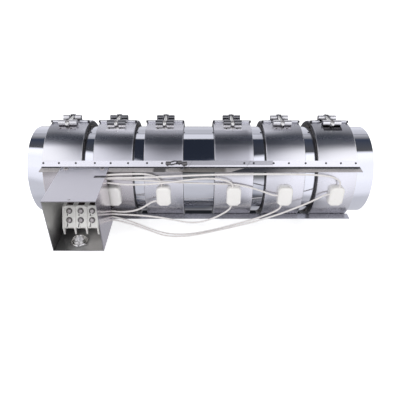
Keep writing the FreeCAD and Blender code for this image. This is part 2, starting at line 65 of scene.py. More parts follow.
# Sizes are in millimetres and angles in degrees round the tube: 0 is the -Y side, 90 is the top.
MM = 0.001
UP = Vector((0, 0, 1))
BODY = "heater"
BANDS = {1: -265.0, 2: -168.7, 3: -72.4, 4: 63.0, 5: 162.2, 6: 261.4}
SHELL_RADIUS = 102.5
SHEET = 0.8
HALF_BAND = 37.5
RIM_CORNER = 1.7
RIM_DEPTH = 3.4
SPLIT_START = 94.0
SPLIT_END = 97.0
HEM_LENGTH = 16.8
BAR_RADIUS = 108.6
FRONT_BAR = 86.0
REAR_BAR = 104.0
BAR_HALF = 4.2
LOOP_HALF = 5.5
STRAP_SHEET = 1.2
STRAP_HALF = 18.0
FRONT_SLOT_HALF = 3.9
REAR_SLOT_HALF = 6.0
FOOT_SLOT_HALF = 1.6
STRAP_FOOT = 11.0
STRAP_FOOT_BRIDGE = 3.0
SCREW_RADIUS = 3.0
SCREW_PITCH = 1.0
THREAD_DEPTH = 0.5
HEAD_FLATS = 10.0
HEAD_HEIGHT = 4.5
POLE_PITCH = 21.0
BLOCK_BROW = Vector((-222.4, -148.0, 3.3))
BLOCK_RUN = Vector((0, -20.0, -33.0)).normalized()
BLOCK_OUT = Vector((0, BLOCK_RUN.z, -BLOCK_RUN.y))
GLAND = Vector((-223.2, -186.5, -52.7))
GLAND_BORE = 8.5
BOX_INSIDE = ((-264.3, -175.7), (-51.5, 52.1))
BOX_TOP = 53.285
BOX_SCREW_Y = -98.5
RAIL_FOLD = (-90.2, 52.4)
LEAD_END_Y = (-122.1, -128)
UPPER_RIVETS = (34.5, (-299.5, -270, -238, -202, -172, -139, -103, -74.5, -46, 82, 100, 138, 167,
                       199, 238, 266.5, 295))
LOWER_RIVETS = (-40.5, (-290, -240, -194, -144, -97, -48, 38, 88, 137, 187, 236, 286))
FLOOR_Z = -103.2
DRUM_RADIUS = 2200.0
DRUM_HALF = 3000.0
PANEL_EDGE = 108.0
CAMERA_PLACE = (-8.2, -751.5, 412.55)
CAMERA_TURNS = (33.307, 0.532, 0.281)
CAMERA_LENS = 35.535

# Each lead's length, the x and z of its end at the plate, and its route from its cap
LEADS = {
    "lead_3_upper": (137.8, (-190, 48.5), [
        (-75.6, -105, 20.5), (-75.6, -105, 26.5), (-79, -104.6, 34), (-88, -104.8, 41.5),
        (-103, -107, 47.2), (-124, -110.5, 49.3), (-152, -112.6, 49.6), (-170, -113.4, 48.9),
        (-181.9, -114, 48.5)]),
    "lead_4_upper": (288.6, (-212, 35.5), [
        (60, -110, 20.5), (60, -110, 25.5), (55, -110, 31), (43, -109.5, 35.5),
        (26, -109.5, 38.8), (-4, -109.5, 39), (-42, -111, 34), (-90, -113.3, 28.6),
        (-136, -115, 28.4), (-162, -117, 32.2), (-183, -117.8, 35.5), (-198, -118, 36.2),
        (-207.4, -117.5, 35.8)]),
    "lead_5_upper": (365.2, (-204, 40), [
        (148.2, -108, 0), (141.5, -108, 0), (129, -107, 4.5), (108, -105.8, 12.5),
        (82, -104.8, 20.3), (58, -104.6, 24.3), (12, -105, 25), (-34, -106.5, 28),
        (-78, -109, 32.4), (-128, -111.4, 37.4), (-160, -113.2, 40.4), (-180, -113.8, 40.2),
        (-195.9, -114, 40)]),
    "lead_6_upper": (481.5, (-196, 44), [
        (264.4, -109, 20.5), (264.4, -109, 27.5), (261, -109.6, 34.5), (250, -110.2, 41.5),
        (230, -110.4, 46), (190, -110.2, 48.4), (105, -110, 48.7), (5, -110, 47.2),
        (-70, -110.8, 43.4), (-112, -112.8, 42.6), (-146, -115.8, 43.8), (-170, -117.6, 44.3),
        (-182.8, -118, 44.4), (-191.4, -117.5, 44)]),
    "lead_3_lower": (117.6, (-190, -31.5), [
        (-86.4, -109, -12), (-92.5, -109, -12), (-102, -109.6, -17.5), (-115, -111.2, -26.5),
        (-132, -112.8, -33), (-155, -114, -34.6), (-172, -114.4, -32.4), (-181.9, -114, -31.5)]),
    "lead_4_lower": (281.4, (-196, -35.8), [
        (59, -109, -20.5), (59, -109, -26.5), (53, -109.4, -34.5), (41, -110, -43),
        (22, -110.6, -54), (-2, -111, -62), (-26, -111.6, -62.4), (-52, -112.6, -55.6),
        (-86, -114.4, -46.5), (-124, -116.6, -40.4), (-155, -118.2, -37.6), (-173, -118.2, -36.2),
        (-183, -118.2, -35.6), (-191.4, -117.5, -35.8)]),
    "lead_5_lower": (401.0, (-204, -43.5), [
        (157.2, -109, -20.5), (157.2, -109, -26.5), (152, -108.6, -33.5), (140, -108, -41.5),
        (118, -107.6, -52.5), (84, -107.5, -65), (34, -107.5, -81.5), (-14, -107.5, -93.5),
        (-52, -107.8, -96), (-84, -108.6, -89), (-110, -109.8, -76), (-134, -111.4, -62.5),
        (-158, -113.6, -50.5), (-178, -114.4, -44.8), (-195.9, -114, -43.5)]),
    "lead_6_lower": (496.4, (-212, -47.8), [
        (247.4, -109, 3), (240.5, -109, 3), (229, -109.6, -4), (211, -110.2, -15),
        (186, -110.8, -27.5), (152, -111.6, -43.5), (108, -112, -59.5), (54, -112, -76.5),
        (0, -112, -91.5), (-42, -112, -98.5), (-76, -112.2, -95.5), (-103, -112.6, -82.5),
        (-127, -114, -69.5), (-152, -117, -57), (-174, -118.6, -49.8), (-189, -118.8, -47.6),
        (-199.4, -118.2, -47.3), (-207.4, -117.5, -47.8)]),
}

# The plain brushed metals: colour, roughness, way of the brushing, wear and metallic share
METALS = {
    "rim_sheet": ((0.88, 0.88, 0.90), 0.24, "around", 1.0, 1.0),
    "clamp_steel": ((0.30, 0.30, 0.32), 0.36, "x", 1.0, 1.0),
    "screw_steel": ((0.93, 0.925, 0.91), 0.30, "y", 0.5, 0.6),
    "plate_sheet": ((0.64, 0.63, 0.63), 0.34, "x", 1.4, 0.35),
    "terminal_metal": ((0.50, 0.47, 0.46), 0.26, "y", 1.0, 1.0),
    "dark_steel": ((0.22, 0.21, 0.21), 0.34, "y", 1.0, 1.0),
    "gland_metal": ((0.76, 0.75, 0.73), 0.20, "y", 1.0, 1.0),
}
MATERIALS = {}

# The light of the panels by degrees round the drum, at its middle and at its ends
MIDDLE_PANELS = (
    (-180, 0.45), (-108, 0.12), (-84, 0.08), (-76, 0.09), (-62, 0.44), (-40, 0.60), (-20, 0.62),
    (-5, 0.85), (8, 0.96), (28, 1.0), (38, 0.95), (44, 0.50), (49, 0.05), (53, 0.028),
    (111, 0.026), (114, 0.82), (130, 0.78), (135, 0.56), (150, 0.56), (171, 0.72), (180, 0.62))
END_PANELS = (
    (-180, 0.66), (-150, 0.95), (-75, 1.12), (-11, 1.10), (20, 1.25), (38, 1.20), (44, 0.80),
    (50, 0.10), (111, 0.06), (118, 0.24), (126, 0.47), (139, 0.62), (171, 0.85), (180, 0.80))


def feed(tree, target, value):
    """Gives an input a value, or links it to a number or a node's output."""
    value = value.socket if isinstance(value, Number) else value
    if isinstance(value, bpy.types.NodeSocket):
        tree.links.new(value, target)
    else:
        target.default_value = value


def add_node(tree, kind, values=None, **settings):
    """Adds a node with its settings, and with values or links on its inputs."""
    node = tree.nodes.new(kind)
    for key, value in settings.items():
        setattr(node, key, value)
    for key, value in (values or {}).items():
        feed(tree, node.inputs[key], value)
    return node


class Number:
    """A number worked out by a shader's nodes, with plain operators."""

    def __init__(self, tree, socket):
        self.tree = tree
        self.socket = socket

    def combine(self, operation, *others, swap=False):
        values = (self,) + others
        node = add_node(self.tree, "ShaderNodeMath",
                        dict(enumerate(values[::-1] if swap else values)), operation=operation)
        return Number(self.tree, node.outputs[0])

    __add__ = __radd__ = partialmethod(combine, "ADD")
    __sub__ = partialmethod(combine, "SUBTRACT")
    __rsub__ = partialmethod(combine, "SUBTRACT", swap=True)
    __mul__ = __rmul__ = partialmethod(combine, "MULTIPLY")
    maximum = partialmethod(combine, "MAXIMUM")
    minimum = partialmethod(combine, "MINIMUM")
    distance = partialmethod(combine, "ABSOLUTE")
    root = partialmethod(combine, "SQRT")
    sine = partialmethod(combine, "SINE")
    angle_from = partialmethod(combine, "ARCTAN2")

    def ramp(self, low, high):
        """0 below low and 1 above high, smooth between them."""
        node = add_node(self.tree, "ShaderNodeMapRange",
                        {"Value": self, "From Min": low, "From Max": high},
                        interpolation_type="SMOOTHSTEP")
        return Number(self.tree, node.outputs["Result"])

    def fall(self, low, high):
        """1 below low and 0 above high, smooth between them."""
        return 1 - self.ramp(low, high)

    def inside(self, low, high, soft=0.2):
        """1 between two values and 0 outside them."""
        return self.ramp(low - soft, low) * self.fall(high, high + soft)


class Surface:
    """A material whose pattern comes from object coordinates, in millimetres."""

    def __init__(self, name, colour, roughness, metallic=0.0, coat=0.0):
        self.material = MATERIALS[name] = bpy.data.materials.new(name)
        self.material.use_nodes = True
        self.tree = self.material.node_tree
        self.shader = self.tree.nodes["Principled BSDF"]
        self.base = colour + (1.0,)
        self.roughness = roughness
        self.normal = None
        for label, value in (("Base Color", self.base), ("Roughness", roughness),
                             ("Metallic", metallic), ("Coat Weight", coat),
                             ("Coat Roughness", 0.06)):
            self.set(label, value)
        coordinates = self.node("ShaderNodeTexCoord").outputs["Object"]
        parts = self.node("ShaderNodeSeparateXYZ", {"Vector": coordinates})
        self.x, self.y, self.z = [Number(self.tree, part) * (1 / MM) for part in parts.outputs]

    def node(self, kind, values=None, **settings):
        return add_node(self.tree, kind, values, **settings)

    def set(self, label, value):
        """Gives one of the shader's inputs a value or a link."""
        feed(self.tree, self.shader.inputs[label], value)

    def around(self):
        """The way round the tube's axis from the -Y side, at the shell's radius."""
        return self.z.angle_from(self.y * -1.0) * SHELL_RADIUS

    def from_axis(self):
        return (self.y * self.y + self.z * self.z).root()

    def noise(self, x, y, z, detail=2.0, roughness=0.5):
        place = self.node("ShaderNodeCombineXYZ", {0: x, 1: y, 2: z}).outputs[0]
        node = self.node("ShaderNodeTexNoise", {"Vector": place, "Scale": 1.0, "Detail": detail,
                                                "Roughness": roughness})
        return Number(self.tree, node.outputs["Fac"])

    def cloud(self, size, detail=3.0):
        """Soft noise with features of about this size."""
        place = [way * (1 / size) for way in (self.x, self.y, self.z)]
        return self.noise(*place, detail, 0.55)

    def blend(self, factor, other):
        """Mixes another colour into the base colour by a factor."""
        node = self.node("ShaderNodeMix", {0: factor, 6: self.base, 7: other + (1.0,)},
                         data_type="RGBA")
        self.base = node.outputs[2]
        self.set("Base Color", self.base)

    def roughen(self, factor, amount):
        """Adds an uneven part to the roughness."""
        rough = (factor - 0.5) * amount + self.roughness
        self.set("Roughness", rough.maximum(0.02).minimum(1.0))

    def bump(self, height, depth, strength):
        """Raises the surface by a height from 0 to 1 times a depth."""
        values = {"Height": height, "Distance": depth * MM, "Strength": strength}
        if self.normal is not None:
            values["Normal"] = self.normal
        self.normal = self.node("ShaderNodeBump", values).outputs["Normal"]
        self.set("Normal", self.normal)


def brushed(name, colour, roughness, way, wear=1.0, metallic=1.0, depth=0.008, stain=None):
    """Brushed or rolled metal sheet with handling marks."""
    surface = Surface(name, colour, roughness, metallic=metallic)
    thin, long = 1 / 0.35, 1 / 60.0
    if way == "around":
        lines = surface.noise(surface.x * thin, surface.around() * long, 0.0, 2.0, 0.6)
    else:
        along, across = (long, thin) if way == "x" else (thin, long)
        lines = surface.noise(surface.x * along, surface.y * across, surface.z * across, 2.0, 0.6)
    patches = surface.cloud(38.0)
    specks = surface.cloud(2.4, 1.0)
    for marks, strength, base, shade in (
            (lines.ramp(0.35, 0.75), 0.28, colour, 0.84),
            (patches.ramp(0.45, 0.8), 0.26, stain or colour, 0.88),
            (specks.ramp(0.67, 0.75), 0.25, colour, 0.62)):
        surface.blend(marks * (strength * wear), tuple(c * shade for c in base))
    surface.roughen(patches * 0.6 + lines * 0.4, 0.18)
    surface.bump(lines, depth, 0.5)
    surface.bump(surface.cloud(30.0, 2.0), 0.06, 0.3)
    return surface


def grainy(name, colour, roughness, layers, unevenness, bumps, **kind):
    """A rough or glazed material with soft patches of other colours.

    A layer is (size, detail, range, strength, colour), a bump (size, detail, depth, strength).
    """
    surface = Surface(name, colour, roughness, **kind)
    for size, detail, (low, high), strength, other in layers:
        surface.blend(surface.cloud(size, detail).ramp(low, high) * strength, other)
    surface.roughen(surface.cloud(*layers[0][:2]), unevenness)
    for size, detail, depth, strength in bumps:
        surface.bump(surface.cloud(size, detail), depth, strength)
    return surface


def tube_material():
    """The carrier tube's bright sheet, with its seam line and the shade under the rail."""
    tube = Surface("tube_sheet", (0.84, 0.85, 0.89), 0.07, metallic=1.0)
    rolling = tube.noise(tube.x * 0.009, tube.around() * 0.06, 0.0, 2.0)
    scuffs = tube.noise(tube.x * 0.7, tube.around() * 0.045, 0.0, 3.0, 0.65)
    tube.blend(rolling.ramp(0.3, 0.8) * 0.35, (0.78, 0.80, 0.86))
    tube.blend(tube.cloud(1.6, 1.0).ramp(0.68, 0.75) * 0.5, (0.70, 0.71, 0.74))
    tube.roughen(rolling * 0.4 + scuffs * 0.6, 0.10)
    bore = tube.from_axis().fall(89.3, 89.6)
    tube.blend(bore * 0.8, (0.62, 0.62, 0.63))
    tube.set("Metallic", 1 - bore * 0.7)
    seam = (tube.around() - math.radians(79.0) * SHELL_RADIUS).distance()
    tube.blend(seam.fall(0.5, 1.0) * 0.85, (0.22, 0.22, 0.25))
    # Painted shade: the tube is darkened in front, below the upper rail's flange.
    painted_shade_below_rail = tube.z.ramp(16, 30) * tube.z.fall(49.5, 51) * tube.y.fall(-60, -50)
    tube.blend(painted_shade_below_rail * tube.x.inside(-160, 120, 30) * 0.9, (0.10, 0.105, 0.10))
    tube.bump(rolling, 0.20, 0.30)
    tube.bump(scuffs, 0.006, 0.5)


def shell_material():
    """The bands' sheet, whose tone changes with the height and from band to band."""
    shell = brushed("shell_sheet", (0.85, 0.845, 0.88), 0.35, "around", wear=0.3, depth=0.001,
                    stain=(0.80, 0.79, 0.80))
    # Painted reflections by height: dark stripes near the top of every band, darker on the outer
    # bands, a painted highlight lower on the outer bands, and more dark stripes on bands 3 and 4.
    outer = (shell.x + 45).distance().ramp(150, 250)
    shell.blend(shell.z.inside(86.5, 95.5, 4) * (0.5 - outer * 0.35), (0.33, 0.34, 0.37))
    shell.blend(outer * shell.z.ramp(88, 97) * 0.62, (0.24, 0.245, 0.265))
    shell.blend(outer * shell.z.inside(62, 80, 6), (1.0, 0.995, 1.0))
    inner = (shell.x + 11).distance().fall(100, 108)
    shell.blend(inner * shell.z.inside(95, 99, 1.5) * 0.6, (0.34, 0.34, 0.37))
    shell.blend(inner * shell.z.inside(62, 79, 6) * 0.5, (0.45, 0.445, 0.48))
    # Painted shade: the bands beside the box are toned warm grey, and every band is painted darker
    # towards the bottom, more so beside the box.
    by_box = shell.x.fall(-128, -118)
    shell.blend(by_box * shell.z.inside(-200, 50, 2) * 0.8, (0.66, 0.62, 0.63))
    shell.blend(shell.z.fall(-75, 15) * (by_box * 0.45 + 0.35), (0.27, 0.265, 0.275))
    # Painted shade: the rims' inner edges, close to the tube, are painted near black.
    painted_rim_shade = shell.from_axis().fall(SHELL_RADIUS - 2 * SHEET, SHELL_RADIUS - 1.5 * SHEET)
    shell.blend(painted_rim_shade * 0.9, (0.07, 0.065, 0.065))
    # Painted shade under the upper rail's flange, on the front of the bands.
    painted_shade_below_rail = shell.z.inside(42, 52, 12) * shell.y.fall(-60, -50) * shell.x.fall(100, 200)
    shell.blend(painted_shade_below_rail * 0.75, (0.34, 0.32, 0.315))
    matt = shell.z.fall(68, 94) * shell.z.ramp(45, 55)
    shell.roughen(matt * 0.65 + shell.cloud(38.0) * 0.2, 0.20)


def clamp_material():
    """The straps' sheet: dark on the middle bands and bright on the outer ones."""
    clamp = brushed("clamp_sheet", (0.30, 0.30, 0.31), 0.26, "x")
    height = clamp.from_axis()
    # Painted dark reflection across the middle height of the loops.
    clamp.blend(height.inside(106.2, 109.2, 0.8), (0.08, 0.08, 0.085))
    # Painted reflection: the straps of the outer bands are painted near white.
    bright = (clamp.x + 42.5).distance().ramp(170, 175)
    clamp.blend(bright * 0.9, (0.95, 0.94, 0.935))
    # Painted highlight on the feet, toned grey on the outer bands and painted dark on band 6.
    foot = height.fall(105.8, 106.4)
    clamp.blend(foot, (0.96, 0.95, 0.95))
    clamp.blend(foot * bright, (0.50, 0.49, 0.51))
    clamp.blend(foot * clamp.x.ramp(200, 210), (0.06, 0.06, 0.065))
    # Painted shadow under the loops of the outer bands.
    clamp.blend(bright * height.inside(105, 106.2, 0.3), (0.06, 0.055, 0.055))


def rail_material():
    """The rails' sheet: a bright leg, a dark fold and a grey flange with a slanted gloss."""
    rail = brushed("rail_sheet", (0.90, 0.89, 0.92), 0.27, "x", wear=0.4, depth=0.0015)
    fold_y, fold_z = RAIL_FOLD
    # Painted shade in the crease of the fold.
    fold = ((rail.y - fold_y) * 0.55 + (rail.z - fold_z) * 0.85).distance().fall(0.5, 1.7)
    rail.blend(fold * rail.y.inside(-94, -86) * rail.z.inside(50.5, 56), (0.07, 0.065, 0.07))
    # The flange is painted grey and less metallic, and darker in two patches: painted dark
    # reflections.
    flange = rail.z.inside(50.5, 53) * rail.y.fall(-93.5, -92.5)
    rail.blend(flange * 0.9, (0.50, 0.47, 0.465))
    rail.blend(flange * rail.x.inside(-35, 42, 8) * 0.75, (0.13, 0.12, 0.105))
    rail.blend(flange * rail.x.inside(-88, -69, 5) * 0.8, (0.06, 0.055, 0.055))
    # Painted dark reflection: a slanted dark band on the flange.
    painted_dark_reflection = (rail.x - rail.y * 1.89 - 257.7).ramp(0, 1.2) * rail.x.fall(100, 210)
    rail.blend(flange * painted_dark_reflection * 0.95, (0.03, 0.034, 0.05))
    # Painted shade on the flange next to the fold, towards the right end.
    rail.blend(flange * rail.y.ramp(-97, -95.5) * rail.x.ramp(80, 120) * 0.85,
               (0.045, 0.045, 0.055))
    # Painted dark reflection on the middle length of the upper leg.
    leg = rail.z.ramp(55.2, 56) * rail.x.inside(-36, 136, 1.5)
    rail.blend(leg * 0.85, (0.40, 0.395, 0.415))
    # Painted shade under the flange.
    under = rail.z.inside(49.5, 51.1, 0.1) * rail.y.fall(-92.5, -91.5)
    rail.blend(under * 0.95, (0.05, 0.05, 0.055))
    # Painted dark reflection: the lower rail is painted darker.
    rail.blend(rail.z.fall(-20, 20) * 0.7, (0.33, 0.33, 0.345))
    rail.set("Metallic", 1 - flange * 0.55)


def box_material():
    """The box's sheet: a mirror-like right wall, a shaded inside and a slit for the cable."""
    box = brushed("box_sheet", (0.93, 0.915, 0.955), 0.24, "x", wear=0.35, depth=0.002)
    (left, right), (low, high) = BOX_INSIDE
    wall = box.x.ramp(right + 0.5, right + 0.7)
    box.roughen(box.cloud(20.0) * 0.3 - wall * 0.75 + 0.7, 0.22)
    # Painted reflection: the right wall is toned a darker purplish grey.
    box.blend(wall * 0.75, (0.66, 0.62, 0.65))
    # Painted shade on the box's inside faces.
    inner = box.x.inside(left - 0.1, right + 0.1) * box.z.inside(low - 0.1, high + 0.1)
    inner = inner * box.y.fall(-121.5, -121)
    box.blend(inner * 0.9, (0.31, 0.31, 0.305))
    # Painted light on the upper part of the left inner wall and painted shade on its lower part.
    flank = inner * box.x.fall(-264, -263)
    box.blend(flank * box.z.ramp(-22, 4) * 0.85, (0.66, 0.66, 0.64))
    box.blend(flank * box.z.fall(-45, -15) * 0.75, (0.06, 0.055, 0.06))
    # Painted shade on the left of the inner floor and painted light on its right.
    ground = inner * box.z.fall(-51.2, -50.8)
    box.blend(ground * box.x.fall(-245, -225) * 0.8, (0.05, 0.05, 0.05))
    box.blend(ground * box.x.ramp(-215, -200) * 0.7, (0.60, 0.58, 0.57))
    box.set("Metallic", 1 - inner * 0.55)
    # Painted shade: a thin dark line along the box's front edges.
    box.blend(box.y.inside(-210, -209.2) * 0.8, (0.30, 0.29, 0.31))
    # Painted shade: a dark line on the top where the cable goes in.
    painted_slit_shade = box.x.ramp(-196.5, -193.5) * box.y.inside(-131.8, -124, 0.4)
    box.blend(painted_slit_shade * box.z.ramp(52, 52.5) * 0.9, (0.05, 0.045, 0.06))


def make_materials():
    """Every material of the object, under the name of its slot or use."""
    tube_material()
    shell_material()
    clamp_material()
    rail_material()
    box_material()
    for name, values in METALS.items():
        brushed(name, *values)
    # Dark metal: on the rim tabs, the tongue slits, the screw recesses and the hem ends this
    # darkness is painted shade.
    grainy("rim_comb", (0.075, 0.075, 0.08), 0.42,
           ((3.0, 3.0, (0.5, 0.72), 0.8, (0.22, 0.21, 0.21)),
            (1.2, 1.0, (0.62, 0.7), 0.6, (0.05, 0.045, 0.045))),
           0.25, ((2.0, 3.0, 0.10, 0.5),), metallic=1.0)
    grainy("cap_ceramic", (0.91, 0.895, 0.88), 0.22,
           ((9.0, 3.0, (0.45, 0.8), 0.35, (0.84, 0.82, 0.79)),
            (0.7, 1.0, (0.70, 0.78), 0.5, (0.62, 0.59, 0.54))),
           0.12, ((5.0, 3.0, 0.12, 0.5), (0.7, 1.0, 0.03, 0.4)), coat=0.55)
    block = grainy("block_ceramic", (0.95, 0.94, 0.92), 0.36,
                   ((6.0, 3.0, (0.4, 0.8), 0.35, (0.84, 0.82, 0.78)),
                    (0.45, 2.0, (0.66, 0.77), 0.5, (0.55, 0.52, 0.48))),
                   0.2, ((0.45, 2.0, 0.05, 0.6),), coat=0.3)
    # Painted shade in the wire-entry pockets on top of the block.
    entries = block.x.inside(-249.9, -194.9) * block.y.inside(-145.1, -132.5)
    block.blend(entries * block.z.inside(-8.9, 3.1) * 0.9, (0.10, 0.055, 0.05))
    # Painted shade: the tiles' ceramic is painted dark brown, for the shade they sit in under the
    # rims.
    grainy("tile_ceramic", (0.33, 0.30, 0.27), 0.8,
           ((1.1, 3.0, (0.4, 0.75), 0.5, (0.20, 0.175, 0.15)),), 0.2, ((1.1, 3.0, 0.12, 0.8),))

    spot = Surface("weld_spot", (0.14, 0.13, 0.14), 0.55, metallic=1.0)
    spot.blend(spot.cloud(0.8), (0.24, 0.20, 0.17))
    spot.roughen(spot.cloud(0.5), 0.3)

    wire = Surface("winding_wire", (0.22, 0.19, 0.17), 0.5, metallic=1.0)
    turns = (wire.x * (2 * math.pi / 1.3)).sine() * 0.5 + 0.5
    wire.blend(turns * 0.7, (0.40, 0.35, 0.30))
    wire.roughen(wire.cloud(3.0), 0.25)
    wire.bump(turns, 0.5, 0.9)

    sleeve = Surface("lead_sleeve", (0.90, 0.87, 0.865), 0.55)
    lean = sleeve.z * 1.3
    one, other = [(way * (2 * math.pi / 1.5)).sine() for way in
                  (sleeve.x + lean, sleeve.x - lean)]
    weave = one * other * 0.5 + 0.5
    sleeve.blend(weave.fall(0.15, 0.6) * 0.35, (0.52, 0.48, 0.47))
    sleeve.blend(sleeve.cloud(14.0).ramp(0.50, 0.75) * 0.45, (0.68, 0.63, 0.61))
    sleeve.roughen(weave, 0.2)
    sleeve.bump(weave, 0.25, 0.8)
    sleeve.set("Sheen Weight", 0.15)


def spin(point, angle):
    """A point made at angle 0, turned to another angle round the tube's axis."""
    x, y, z = point
    c = math.cos(math.radians(angle))
    s = math.sin(math.radians(angle))
    return Vector((x, y * c + z * s, z * c - y * s))


def join(bm, loops, wrap=False, ends=True):
    """Joins rings of points with quads, and closes the two ends or joins them to each other."""
    rings = [[bm.verts.new(p) for p in loop] for loop in loops]
    count = len(rings[0])
    for a, b in zip(rings, rings[1:] + rings[:1] if wrap else rings[1:]):
        for i in range(count):
            j = (i + 1) % count
            bm.faces.new((a[i], a[j], b[j], b[i]))
    if ends and not wrap:
        bm.faces.new(rings[0][::-1])
        bm.faces.new(rings[-1])


def add_lathe(bm, profile, start, end, steps):
    """Turns a closed outline of (x, radius) pairs round the tube's axis."""
    start, end = sorted((start, end))
    angles = [start + (end - start) * i / steps for i in range(steps + 1)]
    join(bm, [[spin((x, -r, 0), angle) for x, r in profile] for angle in angles])


def add_prism(bm, outline, x0, x1, angle=0.0):
    """Pushes an outline of (y, z) pairs along the tube."""
    join(bm, [[spin((x, y, z), angle) for y, z in outline] for x in (x0, x1)])


def arc(a, b, radius, first, last, steps):
    """Points along a part of a circle about (a, b), from one angle to another."""
    turns = [math.radians(first + (last - first) * i / steps) for i in range(steps + 1)]
    return [(a + radius * math.cos(turn), b + radius * math.sin(turn)) for turn in turns]


def add_box(bm, x0, x1, y0, y1, z0, z1, angle):
    add_prism(bm, [(y0, z0), (y0, z1), (y1, z1), (y1, z0)], x0, x1, angle)


def add_plate(bm, outline, out, heights):
    """Pushes an outline of points along a direction, between two heights."""
    join(bm, [[p + out * h for p in outline] for h in heights])


def rectangle(a, b, low, high):
    return [(a, low), (b, low), (b, high), (a, high)]


def circle(side, across, sides):
    """Equal steps round a circle, from two directions in its plane."""
    turns = [2 * math.pi * i / sides for i in range(sides)]
    return [side * math.cos(turn) + across * math.sin(turn) for turn in turns]


def axes_for(direction):
    """A direction and two more that are square to it, for a turned piece."""
    along = Vector(direction).normalized()
    side = along.cross(Vector((1, 0, 0)))
    if side.length < 0.1:
        side = along.cross(Vector((0, 1, 0)))
    side.normalize()
    return along, side, along.cross(side)


def turned(start, direction, profile, sides):
    """Rings of points round an axis, from (distance, radius) pairs."""
    along, side, across = axes_for(direction)
    return [[Vector(start) + along * d + out * r for out in circle(side, across, sides)]
            for d, r in profile]


def add_turned(bm, start, direction, profile, sides=24):
    join(bm, turned(start, direction, profile, sides))


def add_pipe(bm, start, direction, length, outer, inner, sides=28):
    """A short open tube."""
    edge = (outer - inner) * 0.25
    profile = [(edge, inner), (0, inner + edge), (0, outer - edge), (edge, outer),
               (length - edge, outer), (length, outer - edge), (length, inner + edge),
               (length - edge, inner)]
    join(bm, list(zip(*turned(start, direction, profile, sides))), wrap=True)


def add_wire(bm, route, radius, steps=14, sides=10):
    """A short round wire along the cubic curve of four control points."""
    loops = []
    for k in range(steps + 1):
        points = [Vector(p) for p in route]
        while len(points) > 2:
            points = [a.lerp(b, k / steps) for a, b in zip(points, points[1:])]
        along = points[1] - points[0]
        side = along.cross(Vector((0, 1, 0.3))).normalized()
        across = along.cross(side).normalized()
        centre = points[0].lerp(points[1], k / steps)
        loops.append([centre + out * radius for out in circle(side, across, sides)])
    join(bm, loops)


def soften(bm, width, segments):
    """Rounds every sharp edge that the mesh has so far."""
    bm.normal_update()
    sharp = [e for e in bm.edges
             if len(e.link_faces) == 2 and e.calc_face_angle(0.0) > math.radians(30.0)]
    bmesh.ops.bevel(bm, geom=sharp, offset=width, segments=segments, profile=0.6,
                    affect="EDGES", clamp_overlap=True)


def link_object(name, data):
    item = bpy.data.objects.new(name, data)
    bpy.context.scene.collection.objects.link(item)
    return item


def declare(piece, body, replaces=()):
    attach(piece, body)
    if replaces:
        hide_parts(*replaces)


def bake(name, bm):
    """Turns millimetre geometry into a mesh in metres."""
    bmesh.ops.scale(bm, vec=(MM, MM, MM), verts=bm.verts)
    mesh = bpy.data.meshes.new(name)
    bm.to_mesh(mesh)
    bm.free()
    return mesh


def finish_piece(name, bm, look, replaces=(), body=BODY, sharp=38.0):
    """Turns millimetre geometry into a piece that rides on a body."""
    bmesh.ops.recalc_face_normals(bm, faces=bm.faces)
    for face in bm.faces:
        face.smooth = True
    for edge in bm.edges:
        if len(edge.link_faces) == 2 and edge.calc_face_angle(0.0) > math.radians(sharp):
            edge.smooth = False
    mesh = bake(name, bm)
    mesh.materials.append(MATERIALS[look])
    declare(link_object(name, mesh), body, replaces)


class Nodes:
    """Builds one Geometry Nodes group with named inputs and a material."""

    def __init__(self, name, **inputs):
        self.group = bpy.data.node_groups.new(name, "GeometryNodeTree")
        sockets = self.group.interface
        for label, kind in {"Geometry": "Geometry", **inputs, "Material": "Material"}.items():
            sockets.new_socket(label.replace("_", " "), in_out="INPUT",
                               socket_type="NodeSocket" + kind)
        sockets.new_socket("Geometry", in_out="OUTPUT", socket_type="NodeSocketGeometry")
        self.given = self.group.nodes.new("NodeGroupInput").outputs

    def add(self, kind, values=None, **settings):
        """Adds a node and gives its first output."""
        return add_node(self.group, kind, values, **settings).outputs[0]

    def finish(self, geometry):
        real = self.add("GeometryNodeRealizeInstances", {0: geometry})
        painted = self.add("GeometryNodeSetMaterial",
                           {"Geometry": real, "Material": self.given["Material"]})
        add_node(self.group, "NodeGroupOutput", {0: painted})
        return self.group


def ring_group():
    """Copies the mesh round the tube's axis, from a first angle in equal steps."""
    nodes = Nodes("ring_of_copies", Count="Int", First_angle="Float", Step="Float")
    given = nodes.given
    points = nodes.add("GeometryNodePoints", {"Count": given["Count"]})
    turn = nodes.add("GeometryNodeInputIndex")
    for operation, amount in (("MULTIPLY", given["Step"]), ("ADD", given["First angle"]),
                              ("MULTIPLY", -math.pi / 180)):
        turn = nodes.add("ShaderNodeMath", {0: turn, 1: amount}, operation=operation)
    rotation = nodes.add("ShaderNodeCombineXYZ", {0: turn})
    return nodes.finish(nodes.add("GeometryNodeInstanceOnPoints",
                                  {"Points": points, "Instance": given["Geometry"],
                                   "Rotation": rotation}))


def studs_group():
    """Puts a domed head on each point of the mesh, standing along the point's normal."""
    nodes = Nodes("heads_on_points", Radius="Float", Height="Float")
    given = nodes.given
    ball = nodes.add("GeometryNodeMeshUVSphere", {"Segments": 16, "Rings": 10, "Radius": 1.0})
    size = nodes.add("ShaderNodeCombineXYZ",
                     {0: given["Radius"], 1: given["Radius"], 2: given["Height"]})
    dome = nodes.add("GeometryNodeTransform", {"Geometry": ball, "Scale": size})
    normal = nodes.add("GeometryNodeInputNamedAttribute", {"Name": "outwards"},
                       data_type="FLOAT_VECTOR")
    aim = nodes.add("FunctionNodeAlignRotationToVector", {"Vector": normal}, axis="Z")
    copies = nodes.add("GeometryNodeInstanceOnPoints",
                       {"Points": given["Geometry"], "Instance": dome, "Rotation": aim})
    return nodes.finish(nodes.add("GeometryNodeSetShadeSmooth", {"Geometry": copies}))


